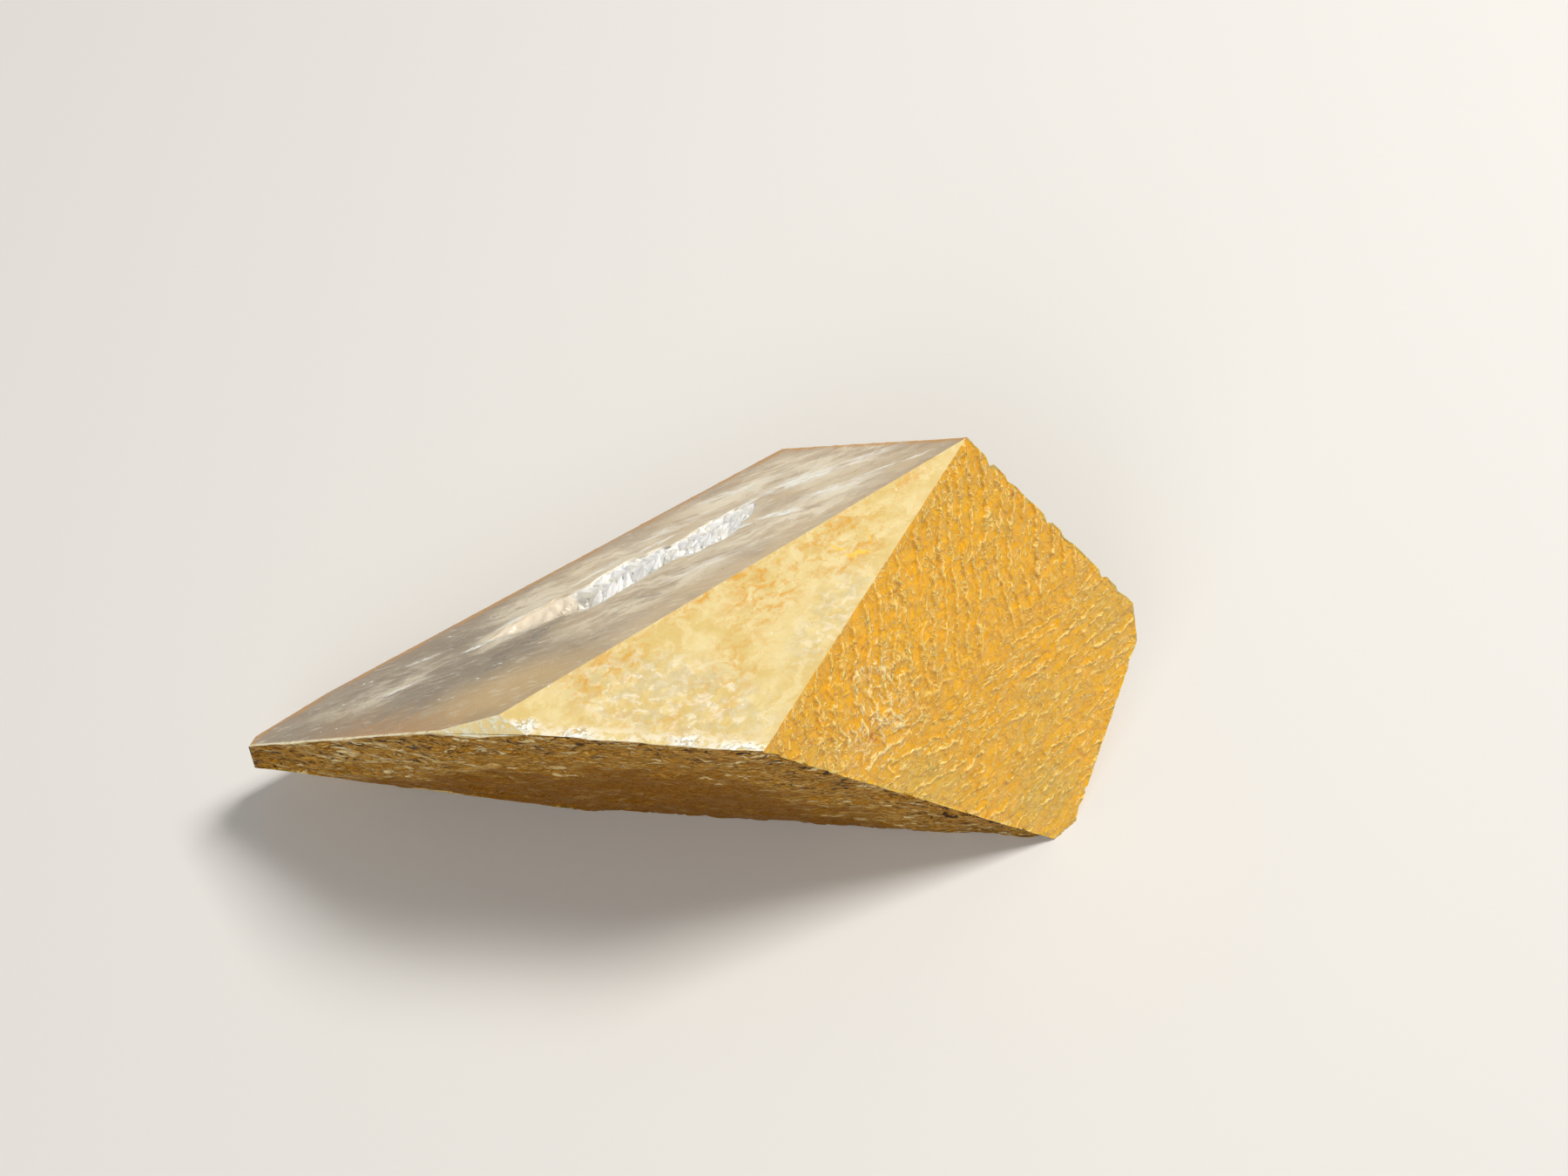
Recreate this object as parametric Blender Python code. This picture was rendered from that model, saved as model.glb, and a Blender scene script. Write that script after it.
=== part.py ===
"""A polyhedral agate: one flat-sided stone with a sawn and polished side.

The stone grew between older crystal plates, so its sides are natural flat facets that meet at sharp
edges. Each facet is given by the bearing and the lean of its outward normal and by its distance from
the origin. The saw opened a narrow hollow in the polished side, which quartz points line as a crust.

The stone rests on its flat underside, with the origin under the middle of its box, +X along its length
towards the thick end and +Z up. Lengths in the tables are millimetres.
"""

import math
import random
from collections import namedtuple

import bmesh
import bpy
from mathutils import Vector, noise

MM = 0.001
UP = Vector((0.0, 0.0, 1.0))
SEED = 27

# Facets. The bearing is degrees from +X towards +Y, the lean is degrees from straight up. The cell is
# the size of the patches that carry the relief, along the facet and up it.
Facet = namedtuple("Facet", "name bearing lean distance skin cell")
FACETS = (
    Facet("polished", 135.2, 36.4, 14.93, "flat", None),
    Facet("cream", -88.0, 24.1, 21.22, "flat", None),
    Facet("nose", -113.3, 54.3, 22.30, "flat", None),
    Facet("amber", -47.8, 58.4, 19.86, "ridged", (0.60, 0.60)),
    Facet("front", -93.9, 103.3, 7.97, "pitted", (1.10, 0.70)),
    Facet("front tip, upper", -100.4, 99.4, 10.44, "pitted", (1.10, 0.70)),
    Facet("front tip, lower", -97.3, 108.7, 8.14, "pitted", (1.10, 0.70)),
    Facet("back", 69.0, 80.6, 14.18, "ridged", (0.90, 0.90)),
    Facet("underside", 0.0, 180.0, 0.0, "flat", None),
    Facet("tip underside", -172.3, 173.5, 0.95, "pitted", (1.30, 0.90)),
    Facet("back tip, long", 115.9, 84.3, 8.30, "pitted", (1.20, 0.80)),
    Facet("back tip, short", 122.6, 82.7, 11.06, "pitted", (1.20, 0.80)),
    Facet("right under", -1.6, 116.9, 22.77, "ridged", (0.70, 0.70)),
    Facet("right corner", 30.2, 97.8, 24.65, "ridged", (0.70, 0.70)),
    Facet("tip end", 161.6, 77.2, 25.75, "flat", None),
)
POLISHED = 1  # the first facet in the table
ROUGH_SKINS = ("ridged", "pitted")
BLOCK = 160.0  # side of the block that the facets are cut from
CLOSEST_POINTS = 0.2  # points nearer than this become one
SETTLING_ROUNDS = 40
LEVEL_FACET = 1e-4  # a facet whose normal is this near upright is level
CUT_TOLERANCE = 1e-6
COLLAPSED_EDGE = 0.01

# Ridges of the laths that the stone grew against: (length, spacing) of their pattern
RIDGE_HEIGHT = 0.36
RIDGE_PATTERN = (7.0, 1.9)
RIDGE_SHARPNESS = 0.36  # share of the pattern that a crest takes
STEEP_RIDGES = math.radians(73.0)  # their direction in a facet's upper part, from level
LEVEL_RIDGES = math.radians(3.0)  # and in its lower part
RIDGE_TURN_PLACE = 0.55  # where one gives way to the other, as a share of the facet's rise
RIDGE_TURN_BLEND = 5.0  # over this height
GROUND_SHARE = 0.4  # the ground between ridges lies this share of their height below the plane
# How far ridges and pits wander from straight: share of their spacing, and turns in their length
SWAY = 0.55
SWAY_TURNS = 3.0
SWAY_LAYER = 40.0
# Pits drawn out along the facet
PIT_DEPTH = 0.42
PIT_PATTERN = (4.6, 1.7)
PIT_EDGE = -0.12  # pattern value where a pit begins
PIT_SLOPE = 0.4  # and how much further it is when the pit has its full depth

# The hollow, as stations along a spine in the polished facet: (place along the spine, place of the
# spine across it, half width). Places are from the crest that the facet shares with the cream one.
CREST_START = Vector((16.78, 4.51, 25.0))  # its upper end
CREST_END = Vector((-10.62, -10.76, 18.6))  # its lower end
HOLLOW = (
    (12.2, 7.35, 0.30),
    (13.4, 7.10, 1.15),
    (15.0, 6.90, 1.70),
    (16.7, 7.05, 1.55),
    (18.1, 7.35, 1.05),
    (19.4, 7.75, 1.45),
    (21.2, 8.00, 1.80),
    (23.6, 8.05, 1.75),
    (26.0, 8.95, 1.35),
    (28.4, 9.55, 0.95),
    (30.6, 9.95, 0.30),
)
HOLLOW_STEP = 0.75  # distance between sections along the spine
HOLLOW_SIDES = 8  # facets across its floor
HOLLOW_DEPTH = 1.55  # of its half width

# The crust of quartz points in the hollow
CRUST_GAP = 0.3
CRUST_BACK = 0.34
CRUST_FROM_HALF_WIDTH = 1.0  # the crust stops where the hollow is narrower
POINT_HEIGHT = (0.28, 0.62)
POINT_SHIFT = 0.12  # how far a point's foot strays from its place

Finish = namedtuple("Finish", "name colour roughness transmission")
AMBER_AGATE = Finish("amber agate", (0.62, 0.34, 0.06, 1.0), 0.45, 0.0)
QUARTZ = Finish("milky quartz", (0.86, 0.83, 0.77, 1.0), 0.12, 0.0)


def clear_scene():
    """Removes every object, so the script can run again in an open file."""
    for thing in list(bpy.data.objects):
        bpy.data.objects.remove(thing, do_unlink=True)


def make_material(finish):
    """Returns a Principled material with the finish's colour and gloss."""
    material = bpy.data.materials.new(finish.name)
    material.use_nodes = True
    shader = material.node_tree.nodes["Principled BSDF"]
    shader.inputs["Base Color"].default_value = finish.colour
    shader.inputs["Roughness"].default_value = finish.roughness
    shader.inputs["Transmission Weight"].default_value = finish.transmission
    shader.inputs["Metallic"].default_value = 0.0
    material.diffuse_color = finish.colour
    return material


def add_object(bm, name, finish):
    """Turns a mesh in millimetres into a named object in metres."""
    bmesh.ops.scale(bm, vec=Vector((MM, MM, MM)), verts=bm.verts)
    mesh = bpy.data.meshes.new(name)
    bm.to_mesh(mesh)
    bm.free()
    mesh.materials.append(make_material(finish))
    thing = bpy.data.objects.new(name, mesh)
    bpy.context.scene.collection.objects.link(thing)
    return thing


def facet_normal(facet):
    """Returns the facet's outward normal from its bearing and lean."""
    bearing = math.radians(facet.bearing)
    lean = math.radians(facet.lean)
    level = math.sin(lean)
    return Vector((math.cos(bearing) * level, math.sin(bearing) * level, math.cos(lean)))


def facet_axes(facet):
    """Returns the facet's level direction, its uphill direction and its normal."""
    normal = facet_normal(facet)
    along = UP.cross(normal)
    if along.length < LEVEL_FACET:
        along = Vector((1.0, 0.0, 0.0))
    along.normalize()
    return along, normal.cross(along), normal


def cut_facets():
    """Cuts the block down to the stone's facets. Each face carries its facet's number."""
    bm = bmesh.new()
    number_of = bm.faces.layers.int.new("facet")
    bmesh.ops.create_cube(bm, size=BLOCK)
    for number, facet in enumerate(FACETS, start=1):
        normal = facet_normal(facet)
        cut = bmesh.ops.bisect_plane(
            bm,
            geom=bm.verts[:] + bm.edges[:] + bm.faces[:],
            plane_co=normal * facet.distance,
            plane_no=normal,
            dist=CUT_TOLERANCE,
            clear_outer=True,
        )
        rim = [part for part in cut["geom_cut"] if isinstance(part, bmesh.types.BMEdge)]
        filled = bmesh.ops.contextual_create(bm, geom=rim)
        for face in filled["faces"]:
            face[number_of] = number
    return bm, number_of


def faces_of(bm, number_of, number):
    """Returns the faces that a facet is made of."""
    return [face for face in bm.faces if face[number_of] == number]


def slicing_directions(facet):
    """Returns the two ways across a facet's cells. Ridges get cells whose sides run with them."""
    along, uphill, _ = facet_axes(facet)
    if facet.skin == "pitted":
        return along, uphill
    return [uphill * math.cos(a) - along * math.sin(a) for a in (STEEP_RIDGES, LEVEL_RIDGES)]


def slice_facet(bm, number_of, number, direction, step):
    """Cuts one facet into strips of the given width, square to the direction."""
    facet_faces = faces_of(bm, number_of, number)
    places = [vert.co.dot(direction) for face in facet_faces for vert in face.verts]
    strips = max(1, round((max(places) - min(places)) / step))
    width = (max(places) - min(places)) / strips
    for strip in range(1, strips):
        faces = faces_of(bm, number_of, number)
        edges = {edge for face in faces for edge in face.edges}
        verts = {vert for face in faces for vert in face.verts}
        bmesh.ops.bisect_plane(
            bm,
            geom=list(verts) + list(edges) + faces,
            plane_co=direction * (min(places) + strip * width),
            plane_no=direction,
            dist=CUT_TOLERANCE,
        )


def slice_rough_facets(bm, number_of):
    """Divides the facets that carry relief into cells, and leaves no sliver between them."""
    for number, facet in enumerate(FACETS, start=1):
        if facet.skin not in ROUGH_SKINS:
            continue
        for direction, step in zip(slicing_directions(facet), facet.cell):
            slice_facet(bm, number_of, number, direction, step)
    bmesh.ops.remove_doubles(bm, verts=bm.verts, dist=CLOSEST_POINTS)
    bmesh.ops.dissolve_degenerate(bm, edges=bm.edges, dist=COLLAPSED_EDGE)
    rough = [face for face in bm.faces if skin_of(face, number_of) in ROUGH_SKINS]
    bmesh.ops.triangulate(bm, faces=rough, quad_method="SHORT_EDGE", ngon_method="BEAUTY")


def skin_of(face, number_of):
    """Returns the kind of skin that a face's facet has."""
    return FACETS[face[number_of] - 1].skin


def stretched_noise(long_way, cross_way, pattern, layer):
    """Returns smooth noise whose shapes are pattern[0] long and pattern[1] wide."""
    length, width = pattern
    sway_place = Vector((long_way, cross_way, 0.0)) * (SWAY_TURNS / length)
    sway_place.z = layer + SWAY_LAYER
    sway = SWAY * noise.noise(sway_place)
    return noise.noise(Vector((long_way / length, cross_way / width + sway, layer)))


def ridge_relief(long_way, rise, turn, layer):
    """Returns the height of the lath ridges at a place on a facet."""
    heights = []
    for angle in (STEEP_RIDGES, LEVEL_RIDGES):
        with_ridge = long_way * math.cos(angle) + rise * math.sin(angle)
        over_ridge = rise * math.cos(angle) - long_way * math.sin(angle)
        value = stretched_noise(with_ridge, over_ridge, RIDGE_PATTERN, layer + angle)
        heights.append(max(0.0, 1.0 - abs(value) / RIDGE_SHARPNESS))
    upper = min(1.0, max(0.0, 0.5 + turn / RIDGE_TURN_BLEND))
    return RIDGE_HEIGHT * (heights[0] * upper + heights[1] * (1.0 - upper) - GROUND_SHARE)


def pit_relief(long_way, rise, layer):
    """Returns the depth, below zero, of the drawn-out pits at a place on a facet."""
    value = stretched_noise(long_way, rise, PIT_PATTERN, layer)
    return -PIT_DEPTH * min(1.0, max(0.0, (value - PIT_EDGE) / PIT_SLOPE))


def relief_at(point, number, turn_rise):
    """Returns how far the skin of a facet stands off its plane at a point."""
    facet = FACETS[number - 1]
    along, uphill, _ = facet_axes(facet)
    long_way = point.dot(along)
    rise = point.dot(uphill)
    if facet.skin == "ridged":
        return ridge_relief(long_way, rise, rise - turn_rise, float(number))
    return pit_relief(long_way, rise, float(number))


def raise_relief(bm, number_of):
    """Moves the points of the rough facets by their relief. Flat facets stay flat."""
    turn_rise = {}
    for number, facet in enumerate(FACETS, start=1):
        uphill = facet_axes(facet)[1]
        rises = [v.co.dot(uphill) for f in faces_of(bm, number_of, number) for v in f.verts]
        turn_rise[number] = min(rises) + (max(rises) - min(rises)) * RIDGE_TURN_PLACE
    moves = {}
    for vert in bm.verts:
        numbers = {face[number_of] for face in vert.link_faces}
        rough = [n for n in numbers if FACETS[n - 1].skin in ROUGH_SKINS]
        flat = [n for n in numbers if n not in rough]
        if not rough or len(flat) > 1:
            continue
        move = Vector()
        for number in rough:
            height = relief_at(vert.co, number, turn_rise[number])
            move += facet_normal(FACETS[number - 1]) * height / len(rough)
        for number in flat:
            normal = facet_normal(FACETS[number - 1])
            move -= normal * move.dot(normal)
        moves[vert] = move
    for vert, move in moves.items():
        vert.co += move
    settle_flat_facets(bm, number_of)


def settle_flat_facets(bm, number_of):
    """Puts every point of a flat facet exactly in its plane, or in both planes along a crest."""
    for vert in bm.verts:
        numbers = {face[number_of] for face in vert.link_faces}
        flat = [FACETS[n - 1] for n in numbers if FACETS[n - 1].skin == "flat"]
        for _ in range(SETTLING_ROUNDS):
            for facet in flat:
                normal = facet_normal(facet)
                vert.co -= normal * (vert.co.dot(normal) - facet.distance)


def hollow_frame():
    """Returns the hollow's origin, the spine's direction, the way across it and the normal."""
    normal = facet_normal(FACETS[POLISHED - 1])
    down_crest = (CREST_END - CREST_START).normalized()
    across = down_crest.cross(normal)
    return CREST_START, down_crest, across, normal


def hollow_at(place):
    """Returns the spine's place across the facet, and the hollow's half width, at a station."""
    station = 0
    while station < len(HOLLOW) - 2 and HOLLOW[station + 1][0] < place:
        station += 1
    near, far = HOLLOW[station], HOLLOW[station + 1]
    share = (place - near[0]) / (far[0] - near[0])
    return near[1] + (far[1] - near[1]) * share, near[2] + (far[2] - near[2]) * share


def hollow_sections(inset, narrowest):
    """Returns the hollow's sections along its spine, drawn in by the inset.

    Each is (middle of the section in the polished plane, half width, depth).
    """
    origin, down_crest, across, _ = hollow_frame()
    length = HOLLOW[-1][0] - HOLLOW[0][0]
    count = round(length / HOLLOW_STEP)
    sections = []
    for index in range(count + 1):
        place = HOLLOW[0][0] + length * index / count
        side, half = hollow_at(place)
        if half >= narrowest:
            middle = origin + down_crest * place + across * side
            sections.append((middle, half - inset, half * HOLLOW_DEPTH - inset))
    return sections


def trough_grid(bm, sections):
    """Adds the points of a trough: one row for each section, from rim to rim."""
    _, _, across, normal = hollow_frame()
    rows = []
    for middle, half, depth in sections:
        row = []
        for side in range(HOLLOW_SIDES + 1):
            angle = math.pi * side / HOLLOW_SIDES
            place = middle + across * (half * math.cos(angle))
            place -= normal * (depth * math.sin(angle))
            row.append(bm.verts.new(place))
        rows.append(row)
    return rows


def skin_grid(bm, rows):
    """Joins the rows of a grid with triangles and returns its faces."""
    faces = []
    for row, following in zip(rows, rows[1:]):
        for left in range(len(row) - 1):
            corner = following[left + 1]
            faces.append(bm.faces.new((row[left], row[left + 1], corner)))
            faces.append(bm.faces.new((row[left], corner, following[left])))
    return faces


def open_hollow(bm, number_of):
    """Cuts the hollow's rim in the polished facet and sinks its trough."""
    polished = [face for face in bm.faces if face[number_of] == POLISHED]
    outline = [edge for face in polished for edge in face.edges]
    bmesh.ops.delete(bm, geom=polished, context="FACES_ONLY")
    rows = trough_grid(bm, hollow_sections(0.0, 0.0))
    skin_grid(bm, rows)
    rim = []
    for end in (rows[0], rows[-1]):
        bm.faces.new(end)
        rim.append(bm.edges.get((end[0], end[-1])))
    for row, following in zip(rows, rows[1:]):
        rim += [bm.edges.get((row[side], following[side])) for side in (0, -1)]
    normal = facet_normal(FACETS[POLISHED - 1])
    bmesh.ops.triangle_fill(bm, use_beauty=True, edges=outline + rim, normal=normal)


def build_stone():
    """Makes the stone: facets, relief, and the hollow in the polished side."""
    bm, number_of = cut_facets()
    slice_rough_facets(bm, number_of)
    raise_relief(bm, number_of)
    open_hollow(bm, number_of)
    bmesh.ops.triangulate(bm, faces=bm.faces)
    bmesh.ops.recalc_face_normals(bm, faces=bm.faces)
    return add_object(bm, "stone", AMBER_AGATE)


def raise_points(rows):
    """Raises every third point of the grid, which leaves six-sided quartz points."""
    chance = random.Random(SEED)
    _, _, across, normal = hollow_frame()
    for i, row in enumerate(rows[1:-1], start=1):
        for j, vert in enumerate(row[1:-1], start=1):
            angle = math.pi * j / HOLLOW_SIDES
            inward = normal * math.sin(angle) - across * math.cos(angle)
            stray = Vector([chance.uniform(-1.0, 1.0) for _ in range(3)])
            stray -= inward * stray.dot(inward)
            vert.co += stray * POINT_SHIFT
            if (i + j) % 3 == 0:
                vert.co += inward * chance.uniform(*POINT_HEIGHT)


def build_crust():
    """Makes the crust: a thin trough whose inside is a field of quartz points."""
    bm = bmesh.new()
    back = trough_grid(bm, hollow_sections(CRUST_GAP, CRUST_FROM_HALF_WIDTH))
    inside = trough_grid(bm, hollow_sections(CRUST_GAP + CRUST_BACK, CRUST_FROM_HALF_WIDTH))
    skin_grid(bm, back)
    skin_grid(bm, inside)
    for edge in (0, -1):
        skin_grid(bm, [[outer[edge], inner[edge]] for outer, inner in zip(back, inside)])
        skin_grid(bm, [back[edge], inside[edge]])
    raise_points(inside)
    bmesh.ops.recalc_face_normals(bm, faces=bm.faces)
    return add_object(bm, "crystal_crust", QUARTZ)


def main():
    """Builds both pieces of the agate."""
    clear_scene()
    build_stone()
    build_crust()


main()
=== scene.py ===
"""Dresses a polyhedral agate: a flat-sided stone, sawn and polished through a hollow of quartz points.

Lengths are millimetres in the part's own frame, and each mesh is brought to metres when it is done.
"""

import logging
import math
import random
from dataclasses import dataclass, field, replace
from enum import Enum

import bpy
import numpy
from mathutils import Matrix, Vector, noise


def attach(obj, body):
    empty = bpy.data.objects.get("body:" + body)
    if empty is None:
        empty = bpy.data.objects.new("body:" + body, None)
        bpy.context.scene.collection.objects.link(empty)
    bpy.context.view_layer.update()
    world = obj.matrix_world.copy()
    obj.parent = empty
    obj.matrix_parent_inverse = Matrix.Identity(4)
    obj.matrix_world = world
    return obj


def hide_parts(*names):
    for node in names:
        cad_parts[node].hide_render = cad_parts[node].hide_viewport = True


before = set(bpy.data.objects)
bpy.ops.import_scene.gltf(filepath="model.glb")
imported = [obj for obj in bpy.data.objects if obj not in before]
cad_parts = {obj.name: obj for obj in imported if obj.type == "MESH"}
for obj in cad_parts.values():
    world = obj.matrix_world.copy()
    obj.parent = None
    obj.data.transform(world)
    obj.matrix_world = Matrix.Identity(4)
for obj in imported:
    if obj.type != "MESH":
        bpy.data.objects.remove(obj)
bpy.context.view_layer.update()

LOG = logging.getLogger("agate")

MM = 0.001
UP = Vector((0.0, 0.0, 1.0))
LEVEL_FACET = 1e-4  # a facet whose normal is this near upright is level
FACING_UP = 0.9  # a face whose normal rises more than this faces up
FACET_MAP = "facet_mm"  # UV map: millimetres along a facet and up it
CREST = "crest"  # attribute: 1 on top of a ridge, 0 on the ground between ridges
TINT = "tint"  # attribute: 0 to 1, which shade the ground or a flake has

# Sockets of a Mix node that mixes colours
MIX_FACTOR, MIX_A, MIX_B, MIX_OUT = 0, 6, 7, 2

# Typical for all quartz and chalcedony
QUARTZ_IOR = 1.544


# ---------------------------------------------------------------- the stone's shape


class Skin(Enum):
    """How the surface of a facet came about."""

    POLISHED = "sawn and polished"
    CREAM = "grown smooth on a flat plate"
    FROSTED = "broken and frosted"
    RIDGED = "grown against rough laths"
    FLAKED = "scaled off in flakes"
    BACK = "grown against rough laths, with less iron"
    RESTING = "scaled off in flakes, and level"


ROUGH_SKINS = (Skin.RIDGED, Skin.FLAKED, Skin.BACK)


@dataclass(frozen=True)
class Facet:
    """One flat side of the stone.

    Args:
        name: what the facet is called.
        bearing: degrees of its outward normal from +X towards +Y.
        lean: degrees of its outward normal from straight up.
        distance: of its plane from the origin.
        skin: how its surface came about.
        strip: width of the strips that the facet is sliced into. Those of a rough one are refined.
    """

    name: str
    bearing: float
    lean: float
    distance: float
    skin: Skin
    strip: float = 0.0

    @property
    def normal(self) -> Vector:
        """Gives the way that the facet faces.

        Returns:
            The outward normal.
        """
        bearing, lean = math.radians(self.bearing), math.radians(self.lean)
        level = math.sin(lean)
        return Vector((math.cos(bearing) * level, math.sin(bearing) * level, math.cos(lean)))

    def axes(self) -> tuple[Vector, Vector]:
        """Gives the two ways in which places on the facet are measured.

        Returns:
            The facet's level direction and its uphill direction.
        """
        normal = self.normal
        along = UP.cross(normal)
        if along.length < LEVEL_FACET:
            along = Vector((1.0, 0.0, 0.0))
        along.normalize()
        return along, normal.cross(along)


# Each facet's bearing and lean in degrees, then its distance, skin and strip width
FACETS = (
    Facet("polished", 135.2, 36.4, 14.93, Skin.POLISHED, 2.6),
    Facet("cream", -88.0, 24.1, 21.22, Skin.CREAM, 2.6),
    Facet("nose", -113.3, 54.3, 22.30, Skin.FROSTED),
    Facet("amber", -47.8, 58.4, 19.86, Skin.RIDGED, 0.86),
    Facet("front", -93.9, 103.3, 7.97, Skin.FLAKED, 1.55),
    Facet("front tip, upper", -100.4, 99.4, 10.44, Skin.FLAKED, 1.5),
    Facet("front tip, lower", -97.3, 108.7, 8.14, Skin.FLAKED, 1.5),
    Facet("back", 69.0, 80.6, 14.18, Skin.BACK, 2.1),
    Facet("underside", 0.0, 180.0, 0.0, Skin.RESTING),
    Facet("tip underside", -172.3, 173.5, 0.95, Skin.BACK, 2.4),
    Facet("back tip, long", 115.9, 84.3, 8.30, Skin.BACK, 2.1),
    Facet("back tip, short", 122.6, 82.7, 11.06, Skin.BACK, 2.1),
    Facet("right under", -1.6, 116.9, 22.77, Skin.BACK, 1.3),
    Facet("right corner", 30.2, 97.8, 24.65, Skin.BACK, 1.3),
    Facet("tip end", 161.6, 77.2, 25.75, Skin.FROSTED),
)
POLISHED = 0  # place of the polished facet among them
HOLLOW_SLOT = len(FACETS)  # material slot of the hollow's wall, after those of the facets


def smooth_step(value: float, start: float, end: float) -> float:
    """Returns 0 below start and 1 above end, with a smooth rise between them."""
    share = min(1.0, max(0.0, (value - start) / (end - start)))
    return share * share * (3.0 - 2.0 * share)


@dataclass(frozen=True)
class Patch:
    """A soft oval at a place on a facet.

    Args:
        along: place of its middle on the facet.
        across: place of its middle up or across the facet.
        length: from its middle to where it ends.
        width: the same, across it.
        turn: degrees from the facet's first direction to its length.
        strength: of its middle.
    """

    along: float
    across: float
    length: float
    width: float
    turn: float = 0.0
    strength: float = 1.0


@dataclass(frozen=True)
class Waves:
    """Smooth unevenness over a facet.

    Args:
        height: from the middle level to about the top.
        length: of a wave along the facet.
        width: of a wave up the facet.
        layer: which noise, as each layer has its own shapes.
    """

    height: float
    length: float
    width: float
    layer: float

    def at(self, along: float, rise: float, layer: float) -> float:
        """Gives the height over the middle level at a place on a facet, which can be negative."""
        place = Vector((along / self.length, rise / self.width, layer + self.layer))
        return self.height * noise.noise(place)


WANDER = Waves(0.9, 5.0, 4.0, 3.0)  # a welt strays over its length
WRIGGLE = Waves(0.30, 0.75, 0.9, 9.0)  # and in its kinks
JITTER = Waves(0.12, 0.3, 0.3, 15.0)  # and its edges are ragged
# The next four are read with a welt's number in place of a place across the welts
SETTING = Waves(0.42, 0.19, 9.0, 31.0)  # a welt stands off its even place, as a share of the spacing
BREAKS = Waves(1.0, 1.0, 0.32, 21.0)  # a welt breaks off and starts again
SWELL = Waves(0.7, 0.59, 0.43, 27.0)  # its half width changes, as a share of itself
TERRACES = Waves(1.0, 0.21, 3.0, 35.0)  # level of the ground between two welts
APART = 7.7  # how far two neighbouring welts lie apart in the waves that break them
FRAYING = 0.25  # change of those waves over which a welt comes to its full height
CRISPNESS = 1.3  # power of a welt's profile: 2 is round, 1 is sharp

GRAIN = Waves(1.0, 0.77, 0.77, 3.0)  # the ground between welts is finely uneven
FINE_GRAIN = Waves(0.5, 0.32, 0.32, 5.0)
FOLDS = Waves(1.0, 1.25, 0.91, 8.0)  # and softly folded
FOLD_PULL = 0.38  # how far the grain pulls the folds about

PIT_SWAY = Waves(0.94, 1.53, 1.53, 40.0)  # the drawn-out pits wander
PITS = Waves(1.0, 4.6, 1.7, 0.0)
PIT_RIM, PIT_FLOOR = -0.12, 0.28  # value of the pit waves at a pit's rim and on its floor
FLAKE_WARP = Waves(0.35, 0.91, 0.53, 2.0)  # flakes are uneven, as a share of a flake
LOT = Vector((12.9898, 78.233, 0.0))  # turns the middle of a flake into a number of its own


@dataclass(frozen=True)
class Ridges:
    """A family of thin welts that run side by side, left by the laths that the stone grew against.

    Args:
        angle: of the welts in the facet, in degrees from level.
        spacing: of the welts.
        height: above the ground.
        half_width: where the welt has a third of its height.
        run: how long a welt is before it breaks off.
        gaps: noise value below which a welt is missing.
        layer: of the noise, added to the facet's own.
    """

    angle: float
    spacing: float
    height: float
    half_width: float
    run: float
    gaps: float
    layer: float

    def crest(self, along: float, rise: float, layer: float) -> tuple[float, float]:
        """Says how near the top of a welt a place is.

        Args:
            along: place on the facet.
            rise: place up the facet.
            layer: of the facet.

        Returns:
            1 on the crest and 0 on the ground, and the level of the ground between the nearest
            two welts, from about -1 to 1.
        """
        turn = math.radians(self.angle)
        with_it = along * math.cos(turn) + rise * math.sin(turn)
        over_it = rise * math.cos(turn) - along * math.sin(turn)
        layer += self.layer
        over_it += WANDER.at(with_it, over_it, layer)
        over_it += WRIGGLE.at(with_it, over_it, layer)
        over_it += JITTER.at(with_it, over_it, layer)
        phase = over_it / self.spacing
        line = round(phase)
        shift = SETTING.at(line, with_it, layer)
        away = abs(phase - line - shift) * self.spacing
        here = BREAKS.at(with_it / self.run + line * APART, line, layer)
        strength = smooth_step(here, self.gaps, self.gaps + FRAYING)
        swell = 1.0 + SWELL.at(with_it, line, layer)
        level = TERRACES.at(line if phase > line + shift else line - 1, with_it, layer)
        return strength * math.exp(-((away / (self.half_width * swell)) ** CRISPNESS)), level


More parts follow.
